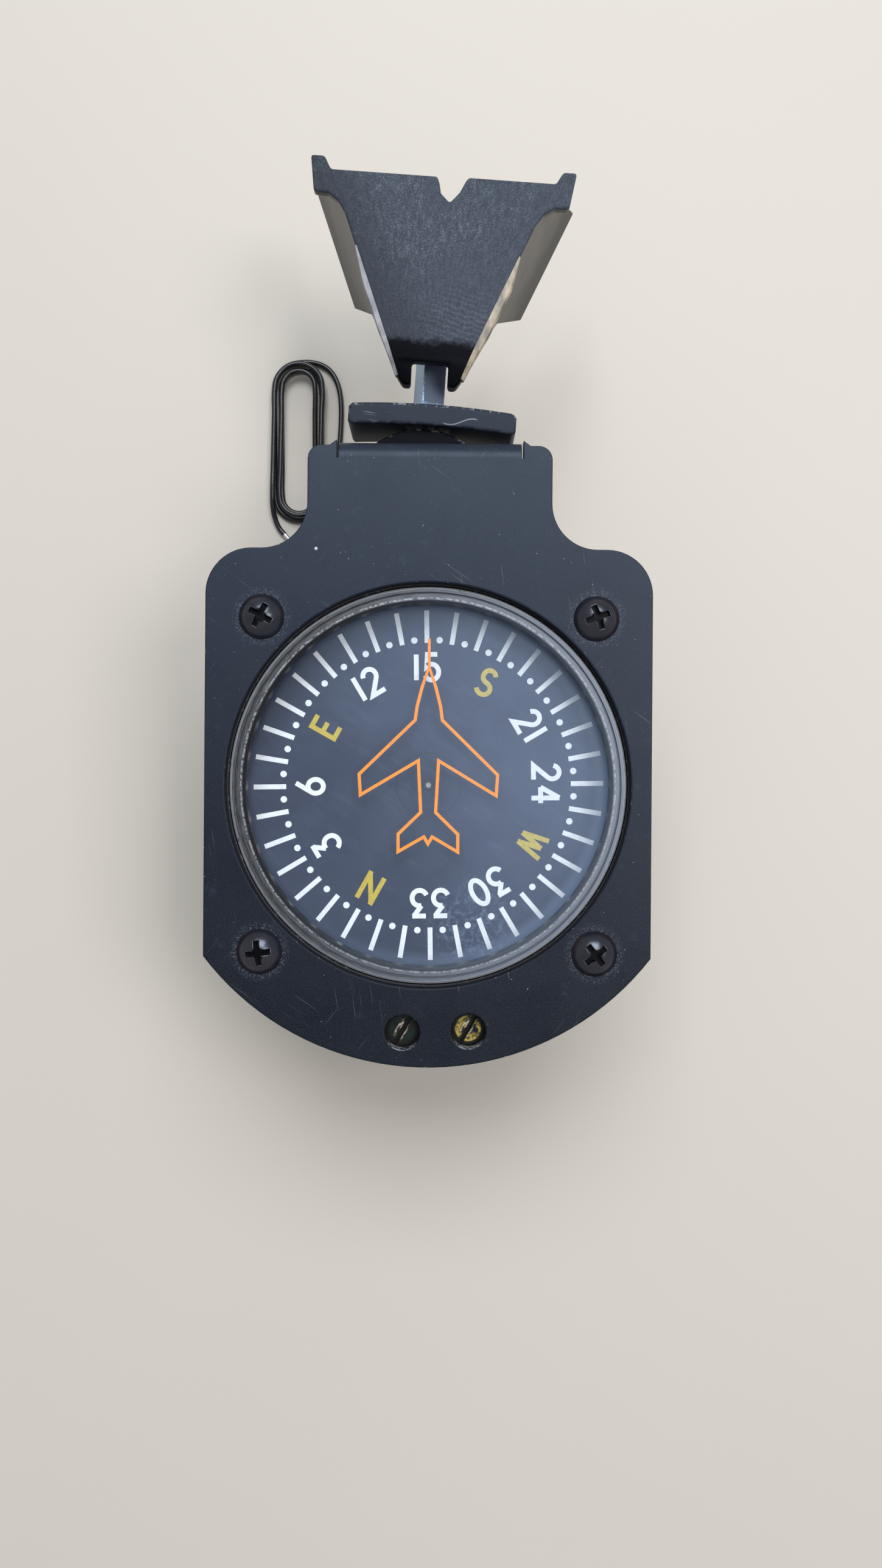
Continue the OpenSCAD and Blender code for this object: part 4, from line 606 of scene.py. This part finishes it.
def glass_clear():
    """Flat glass: it lets light through, reflects by angle, and carries a film of dust and finger marks,
    tinted sky blue and thickened towards the upper right by a painted reflection.
    """
    finger_at, rim_in, rim_out = (8, -27, 47), 31.5, 35.0
    # The film's sky blue colour is a painted reflection
    p = Paint("lens_glass", (0.50, 0.66, 0.96), 0.35)
    smear = p.noise(0.05, 3, 0.65, shift=3)
    wipe = p.noise(0.5, 3, 0.6, (0.25, 1, 1), 35, 9)
    film_and_sheen = p.math("ADD", p.ramp(smear, 0.35, 0.75, 0.008, 0.026), p.both(p.ramp(wipe, 0.52, 0.70), 0.012))
    # A painted reflection makes the film thicker towards the upper right, and at the rim dust and a painted
    # reflection make it thicker towards the right
    film_and_sheen = p.math("ADD", film_and_sheen, p.ramp(p.towards((0.88, 0.47, 0)), -24.0, 32.0, 0.0, 0.065))
    rim = p.both(p.ramp(p.radius(), rim_in, rim_out), p.ramp(p.towards((0.95, -0.2, 0)), -26.0, 26.0))
    film_and_sheen = p.math("ADD", film_and_sheen, p.both(rim, 0.10))
    dust = p.spots(0.69, 0.74, 2.0, 2, 0.6, 14)
    finger = p.both(p.ramp(p.away(finger_at), 11.0, 3.0), p.spots(0.50, 0.62, 0.9, 4, 0.7, 2))
    film_and_sheen = p.math("ADD", film_and_sheen, p.math("ADD", p.both(dust, 0.06), p.both(finger, 0.085)))
    clear = p.node("ShaderNodeBsdfTransparent", {"Color": (0.99, 0.995, 0.995, 1)}).outputs[0]
    shine = p.node("ShaderNodeBsdfGlossy", {"Color": (1, 1, 1, 1), "Roughness": 0.03}).outputs[0]
    # The same on both faces, so that the back one never turns into a mirror
    slant = p.node("ShaderNodeLayerWeight", {"Blend": 0.5}).outputs["Facing"]
    mirror = p.math("MULTIPLY_ADD", p.math("POWER", slant, 5.0), 0.9, 0.03)
    pane = p.node("ShaderNodeMixShader", {0: mirror, 1: clear, 2: shine}).outputs[0]
    whole = p.node("ShaderNodeMixShader", {0: film_and_sheen, 1: pane, 2: p.shader.outputs[0]}).outputs[0]
    p.feed(p.tree.nodes["Material Output"].inputs["Surface"], whole)
    return p.mat


def small_glass(name, colour, rough):
    p = Paint(name, colour, rough, Transmission_Weight=0.6, IOR=1.5)
    smear = p.noise(1.5, 3, 0.6)
    p.use(Base_Color=p.mix(smear, colour, scaled(colour, 0.8)),
          Roughness=p.spread(smear, rough, rough + 0.1))
    return p.mat


# Each look, and the CAD nodes that wear it
looks = (
    (face_paint(), "bezel_plate"),
    (oxide_steel(), "face_screws"),
    (glass_clear(), "lens"),
    (ring_metal(), "retaining_ring"),
    (card_paint(), "compass_card"),
    (arbor_steel(), "card_shaft"),
    (post_paint(), "post"),
    (shoe_black(), "shoe"),
    (cast_paint(), "case_body rear_cover comp_cover"),
    (comp_head("north_screw_paint", NORTH_AT, (0.008, 0.016, 0.015), 0.5, (-5.75, -45.35), 0.5),
     "ns_screw"),
    (comp_head("east_screw_paint", EAST_AT, (0.44, 0.33, 0.07), 0.8, (9.35, -46.4), 0.55),
     "ew_screw"),
    (bracket_paint("chipped_bracket_paint", (0.008, 0.0105, 0.018), (0.016, 0.0212, 0.034), 1.0, 0.18),
     "saddle"),
    # The rocker pad and the nut cradle are near black with almost no shine: painted shade for the shade
    # under the saddle
    (bracket_paint("painted_shade_clamp_paint", (0.002, 0.002, 0.003), (0.004, 0.004, 0.006), 0.2, 0.04),
     "rocker_pad nut_cradle"),
    (metal("spun_copper", (0.38, 0.17, 0.08), (0.66, 0.34, 0.18), spots=(0.12, 0.06, 0.04)),
     "damping_cup"),
    (metal("tinned_tip", (0.48, 0.48, 0.50), (0.74, 0.74, 0.76), streak=(6, 6, 1)),
     "lead_end"),
    (metal("magnet_alloy", (0.16, 0.165, 0.18), (0.30, 0.31, 0.33), 0.42, 0.7),
     "magnet ns_magnet ns_idler_magnet ew_magnet ew_idler_magnet"),
    (metal("turned_brass", (0.42, 0.30, 0.10), (0.70, 0.53, 0.22), 0.28, spots=(0.16, 0.10, 0.04)),
     "bridge bridge_screws card_gear spindle_gear cup_rivets ns_gear ns_idler ew_gear ew_idler"),
    (metal("plain_steel", (0.36, 0.36, 0.37), (0.58, 0.58, 0.60)),
     "face_nuts rear_screws spindle comp_cover_screw cradle_rivets barrel_nut swivel_barrel swivel_nut"),
    (rubber("black_rubber", (0.012, 0.012, 0.012), 0.62), "rear_gasket lens_gasket lead_grommet"),
    (rubber("socket_plastic", (0.035, 0.028, 0.022), 0.45), "lamp_socket"),
    (small_glass("bulb_glass", (0.85, 0.80, 0.62), 0.05), "lamp_bulb"),
    (small_glass("red_jewel", (0.55, 0.03, 0.05), 0.08), "card_bushes spindle_jewels"),
)
for look, names in looks:
    for name in names.split():
        slots = nodes[name].data.materials
        slots.clear()
        slots.append(look)
lead.data.materials.append(rubber("lead_jacket_black", (0.006, 0.006, 0.007), 0.22))


# The edges of the shoe and the saddle are worn round
JOIN_WITHIN = 0.001
SHARP_FROM = math.radians(40)


def soften(name, width):
    join = nodes[name].modifiers.new("joined", "WELD")
    join.merge_threshold = JOIN_WITHIN * MM
    edge = nodes[name].modifiers.new("soft_edges", "BEVEL")
    edge.width = width * MM
    edge.segments = 3
    edge.limit_method = "ANGLE"
    edge.angle_limit = SHARP_FROM
    edge.use_clamp_overlap = False


soften("shoe", 0.5)
soften("saddle", 0.3)


def add_mesh(name, verts, faces, look):
    mesh = bpy.data.meshes.new(name)
    mesh.from_pydata(verts, [], faces)
    mesh.materials.append(look)
    made = bpy.data.objects.new(name, mesh)
    scene.collection.objects.link(made)
    return made


# Print on the card and behind the glass: thin raised ink, drawn with strokes of one width
SHARPEST = 0.42  # limits how far the ink reaches out at a sharp corner


class Ink:
    """Strokes and dots between two heights, gathered into one mesh."""

    def __init__(self, low, high):
        self.low = low
        self.high = high
        self.verts = []
        self.faces = []

    def add_levels(self, outline):
        """The points of an outline at both heights."""
        for z in (self.low, self.high):
            self.verts += [(x * MM, y * MM, z * MM) for x, y in outline]

    def slab(self, left, right, closed):
        """A flat strip between two lines of points, with its edges."""
        n = len(left)
        up = 2 * n
        base = len(self.verts)
        self.add_levels(left + right)
        for i in range(n if closed else n - 1):
            a, b = base + i, base + (i + 1) % n
            c, d = a + n, b + n
            self.faces += [(c + up, d + up, b + up, a + up), (d, c, a, b)]
            self.faces += [(a + up, b + up, b, a), (d + up, c + up, c, d)]
        if not closed:
            for i in (0, n - 1):
                a, c = base + i, base + n + i
                cap = (a, c, c + up, a + up)
                self.faces.append(cap[::-1] if i else cap)

    def stroke(self, points, width, closed=False):
        """A line of one width, mitred at its corners."""
        points = [Vector(point) for point in points]
        n = len(points)
        left, right = [], []
        for i, here in enumerate(points):
            ways = []
            if closed or i:
                ways.append((here - points[i - 1]).normalized())
            if closed or i < n - 1:
                ways.append((points[(i + 1) % n] - here).normalized())
            sides = [Vector((-way.y, way.x)) for way in ways]
            side = sum(sides, Vector((0, 0))).normalized()
            out = side * width / 2 / max(SHARPEST, side.dot(sides[0]))
            left.append(tuple(here + out))
            right.append(tuple(here - out))
        self.slab(left, right, closed)

    def dot(self, at, r, sides=18):
        base = len(self.verts)
        turns = [2 * math.pi * k / sides for k in range(sides)]
        self.add_levels([(at[0] + r * math.cos(turn), at[1] + r * math.sin(turn)) for turn in turns])
        self.faces.append(tuple(range(base + sides, base + 2 * sides)))
        for k in range(sides):
            a, b = base + k, base + (k + 1) % sides
            self.faces.append((a, b, b + sides, a + sides))

    def piece(self, name, look, body):
        made = add_mesh(name, self.verts, self.faces, look)
        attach(made, body)


def arc(cx, cy, rx, ry, start, end, n=14):
    angles = [math.radians(start + (end - start) * k / n) for k in range(n + 1)]
    return [(cx + rx * math.cos(a), cy + ry * math.sin(a)) for a in angles]


# Each figure is a width and its strokes, for a middle line that is 1 high
FIGURES = {
    "0": (0.54, [arc(0.27, 0.5, 0.27, 0.5, 90, 450, 28)]),
    "1": (0.06, [[(0.03, 0), (0.03, 1)]]),
    "2": (0.54, [arc(0.27, 0.73, 0.26, 0.27, 170, -38) + [(0.0, 0.0), (0.55, 0.0)]]),
    "3": (0.52, [[(0.0, 1.0), (0.53, 1.0)], [(0.47, 1.0), (0.17, 0.60)],
                 arc(0.24, 0.30, 0.29, 0.30, 104, -158, 20)]),
    "4": (0.60, [[(0.42, -0.09), (0.42, 1.0)], [(0.42, 1.0), (0.0, 0.27)], [(0.0, 0.27), (0.62, 0.27)]]),
    "5": (0.54, [[(0.48, 1.0), (0.09, 1.0), (0.05, 0.52)] + arc(0.25, 0.31, 0.28, 0.31, 125, -155)]),
    "6": (0.54, [[(0.41, 1.07)] + arc(0.27, 0.30, 0.27, 0.30, 146, 190, 4),
                 arc(0.27, 0.30, 0.27, 0.30, 90, 450, 24)]),
    "N": (0.58, [[(0, -0.09), (0, 1.09)], [(0.0, 1.0), (0.58, 0.0)], [(0.58, -0.09), (0.58, 1.09)]]),
    "E": (0.46, [[(0.5, 1.0), (0.0, 1.0), (0.0, 0.0), (0.5, 0.0)], [(0.0, 0.52), (0.42, 0.52)]]),
    "S": (0.52, [arc(0.26, 0.745, 0.24, 0.255, 25, 270) + arc(0.26, 0.245, 0.27, 0.245, 90, -155)[1:]]),
    "W": (0.80, [[(0.0, 1.07), (0.21, 0.0)], [(0.21, 0.0), (0.40, 0.94)], [(0.40, 0.94), (0.59, 0.0)],
                 [(0.59, 0.0), (0.80, 1.07)]]),
}
FIGURE_H, FIGURE_W, FIGURE_GAP, FIGURE_R = 6.0, 0.95, 0.62, 23.2
# How deep the ink is sunk into the card, how far it stands out, and how far one stroke lies over the last
INK_IN, INK_OUT, INK_LEVEL = 0.02, 0.03, 0.006
# Clock angles of the first tick and from tick to tick and label to label, in degrees
FIRST_TICK, TICK_STEP, LABEL_STEP = -1.0, 10, 30
# Ends and width of the ticks, and the dots between them
TICK_IN, TICK_OUT, TICK_W = 28.0, 34.4, 0.96
DOT_OUT, DOT_R = 28.6, 0.64
LABELS = ("15", "S", "21", "24", "W", "30", "33", "N", "3", "6", "E", "12")


def write(ink, label, clock):
    """One label, its top outward, at a clock angle from the top of the card."""
    size = FIGURE_H - FIGURE_W
    wide = sum(FIGURES[c][0] * size + FIGURE_W for c in label) + FIGURE_GAP * (len(label) - 1)
    at = FIGURE_W / 2 - wide / 2
    sine, cosine = math.sin(math.radians(clock)), math.cos(math.radians(clock))
    for c in label:
        for level, stroke in enumerate(FIGURES[c][1]):
            ink.high = CARD_TOP + INK_OUT + INK_LEVEL * level
            line = [(at + x * size, FIGURE_R - size / 2 + y * size) for x, y in stroke]
            line = [(x * cosine + y * sine, y * cosine - x * sine) for x, y in line]
            closed = math.dist(stroke[0], stroke[-1]) < 1e-6
            ink.stroke(line[:-1] if closed else line, FIGURE_W, closed)
        at += FIGURES[c][0] * size + FIGURE_W + FIGURE_GAP


white_ink = Ink(CARD_TOP - INK_IN, CARD_TOP + INK_OUT)
yellow_ink = Ink(CARD_TOP - INK_IN, CARD_TOP + INK_OUT)
for k in range(360 // TICK_STEP):
    a = math.radians(FIRST_TICK + TICK_STEP * k)
    white_ink.stroke([(r * math.sin(a), r * math.cos(a)) for r in (TICK_IN, TICK_OUT)], TICK_W)
    a += math.radians(TICK_STEP / 2)
    white_ink.dot((DOT_OUT * math.sin(a), DOT_OUT * math.cos(a)), DOT_R)
for k, label in enumerate(LABELS):
    write(yellow_ink if label in "NESW" else white_ink, label, FIRST_TICK + LABEL_STEP * k)
white_print = print_ink("white_ink", (0.93, 0.95, 0.99), (0.80, 0.83, 0.88))
ochre_print = print_ink("ochre_ink", (0.62, 0.47, 0.035), (0.48, 0.37, 0.03))
orange_print = print_ink("orange_ink", (0.95, 0.30, 0.008), (0.82, 0.24, 0.006))
white_ink.piece("card_marks", white_print, "card")
yellow_ink.piece("card_letters", ochre_print, "card")

# Aeroplane index line on the back of the glass: half of its outline, and the needle above its nose
INDEX_SCALE, INDEX_W, NEEDLE_W = 1.034, 0.62, 0.55
INDEX_OFF, INDEX_IN = 0.05, 0.01
NEEDLE_HIGH, NEEDLE_LOW, NEEDLE_BELOW = 27.5, 22.0, 0.005
PLANE_HALF = [(0, 22.2), (1.3, 18.35), (2.2, 14.8), (2.55, 12.2), (13.0, 2.0), (12.75, -1.9), (1.9, 4.6),
              (1.4, -5.1), (5.6, -9.2), (5.6, -12.5), (0.77, -9.7), (0, -11.0)]
half = [(INDEX_SCALE * x, INDEX_SCALE * y) for x, y in PLANE_HALF]
plane = Ink(LENS_BACK - INDEX_OFF, LENS_BACK + INDEX_IN)
plane.stroke(half + [(-x, y) for x, y in half[-2:0:-1]], INDEX_W, True)
plane.high -= NEEDLE_BELOW
plane.stroke([(0, INDEX_SCALE * NEEDLE_HIGH), (0, INDEX_SCALE * NEEDLE_LOW)], NEEDLE_W)
plane.piece("index_line", orange_print, "case")


# Bare metal edges beside the sanded front of the shoe, with a painted reflection in their colours, from the
# prongs of the lip up the sides: their ends along the shoe, over what length they grow and taper, how far
# they are let in, and how deep they go
STRIP_LOW, STRIP_HIGH, STRIP_STEPS = -12.9, 10.4, 30
STRIP_GROW, STRIP_TAPER = 8, 6
STRIP_SUNK = -0.3
LIP_DEEP, SIDE_DEEP = 1.6, 2.6


def edge_strip(name, side, widest, look):
    """A strip on one side of the shoe, 1 for the right: rings of points along it, joined by faces."""
    along = Vector((LIP_SLOPE, 1)).normalized()
    out = Vector((along.y, -along.x))
    verts, faces = [], []
    for i in range(STRIP_STEPS + 1):
        v = STRIP_LOW + (STRIP_HIGH - STRIP_LOW) * i / STRIP_STEPS
        # It grows from its lower end and tapers off to its upper one
        wide = widest * min(1, 0.4 + 0.6 * (v - STRIP_LOW) / STRIP_GROW)
        wide *= min(1, max(0.02, (STRIP_HIGH - v) / STRIP_TAPER)) ** 0.8
        base = Vector((LIP_AT[0] + LIP_SLOPE * (v - LIP_AT[1]), v))
        back = LIP_R - math.sqrt(LIP_R ** 2 - min(0, v - LIP_AT[1]) ** 2)
        deep = LIP_DEEP if v < LIP_AT[1] else SIDE_DEEP
        # Its section from the front round the outside to the rear, as reach outward and depth
        ring = ((STRIP_SUNK, 0.10), (wide * 0.75, 0.14), (wide, 0.45), (wide * 0.55, deep),
                (STRIP_SUNK, deep))
        for reach, depth in ring:
            at = base + out * reach
            x, y = side * at.x, at.y
            verts.append(((SHOE_AT[0] + x * math.cos(SHOE_TURN) - y * math.sin(SHOE_TURN)) * MM,
                          (SHOE_AT[1] + x * math.sin(SHOE_TURN) + y * math.cos(SHOE_TURN)) * MM,
                          (SHOE_FRONT - back - depth) * MM))
    n = len(ring)
    for i in range(STRIP_STEPS):
        for k in range(n):
            a, b = n * i + k, n * i + (k + 1) % n
            quad = (a, b, b + n, a + n)
            faces.append(quad if side > 0 else quad[::-1])
    faces += [tuple(range(n))[::-1], tuple(range(n * STRIP_STEPS, n * STRIP_STEPS + n))]
    made = add_mesh(name, verts, faces, look)
    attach(made, "windshield_shoe")


# The strips are bare metal whose colours carry a painted reflection: grey on the left, and warm beige on
# the right
grey_sheen_metal = strip_metal("grey_sheen_edge_metal", (0.13, 0.13, 0.14), (0.27, 0.27, 0.29))
bone_sheen_metal = strip_metal("bone_sheen_edge_metal", (0.15, 0.125, 0.095), (0.41, 0.33, 0.235))
edge_strip("shoe_edge_left", -1, 0.95, grey_sheen_metal)
edge_strip("shoe_edge_right", 1, 1.4, bone_sheen_metal)


# Floor, light and world
FLOOR_HALF, FLOOR_Z = 2, -0.00005


def floor_paint():
    p = Paint("pale_floor", (0.58, 0.53, 0.465), 0.55)
    p.use(Base_Color=p.mix(p.noise(0.01, 2, 0.5), (0.57, 0.52, 0.455), (0.59, 0.54, 0.475)))
    return p.mat


floor_corners = [(FLOOR_HALF * x, FLOOR_HALF * y, 0) for x, y in ((-1, -1), (1, -1), (1, 1), (-1, 1))]
floor = add_mesh("floor", floor_corners, [(0, 1, 2, 3)], floor_paint())
floor.location = (0, 0, FLOOR_Z)


def softbox(name, at, aim, size, watts, colour):
    data = bpy.data.lights.new(name, "AREA")
    data.shape = "RECTANGLE"
    data.size, data.size_y = size
    data.energy = watts
    data.color = colour
    lamp = bpy.data.objects.new(name, data)
    lamp.location = at
    lamp.rotation_euler = (Vector(aim) - Vector(at)).to_track_quat("-Z", "Y").to_euler()
    scene.collection.objects.link(lamp)


softbox("key", at=(0.05, 0.88, 1.30), aim=(0, 0.03, 0), size=(1.1, 0.8), watts=20,
        colour=(0.90, 0.95, 1.0))
softbox("fill", at=(0.53, 0.06, 1.05), aim=(0, 0, 0), size=(0.45, 0.45), watts=4.8,
        colour=(0.98, 0.98, 0.98))
world = bpy.data.worlds.new("studio")
world.use_nodes = True
sky = world.node_tree.nodes["Background"]
sky.inputs["Color"].default_value = (0.92, 0.96, 1.0, 1)
sky.inputs["Strength"].default_value = 0.42
scene.world = world
scene.view_settings.view_transform = "Standard"
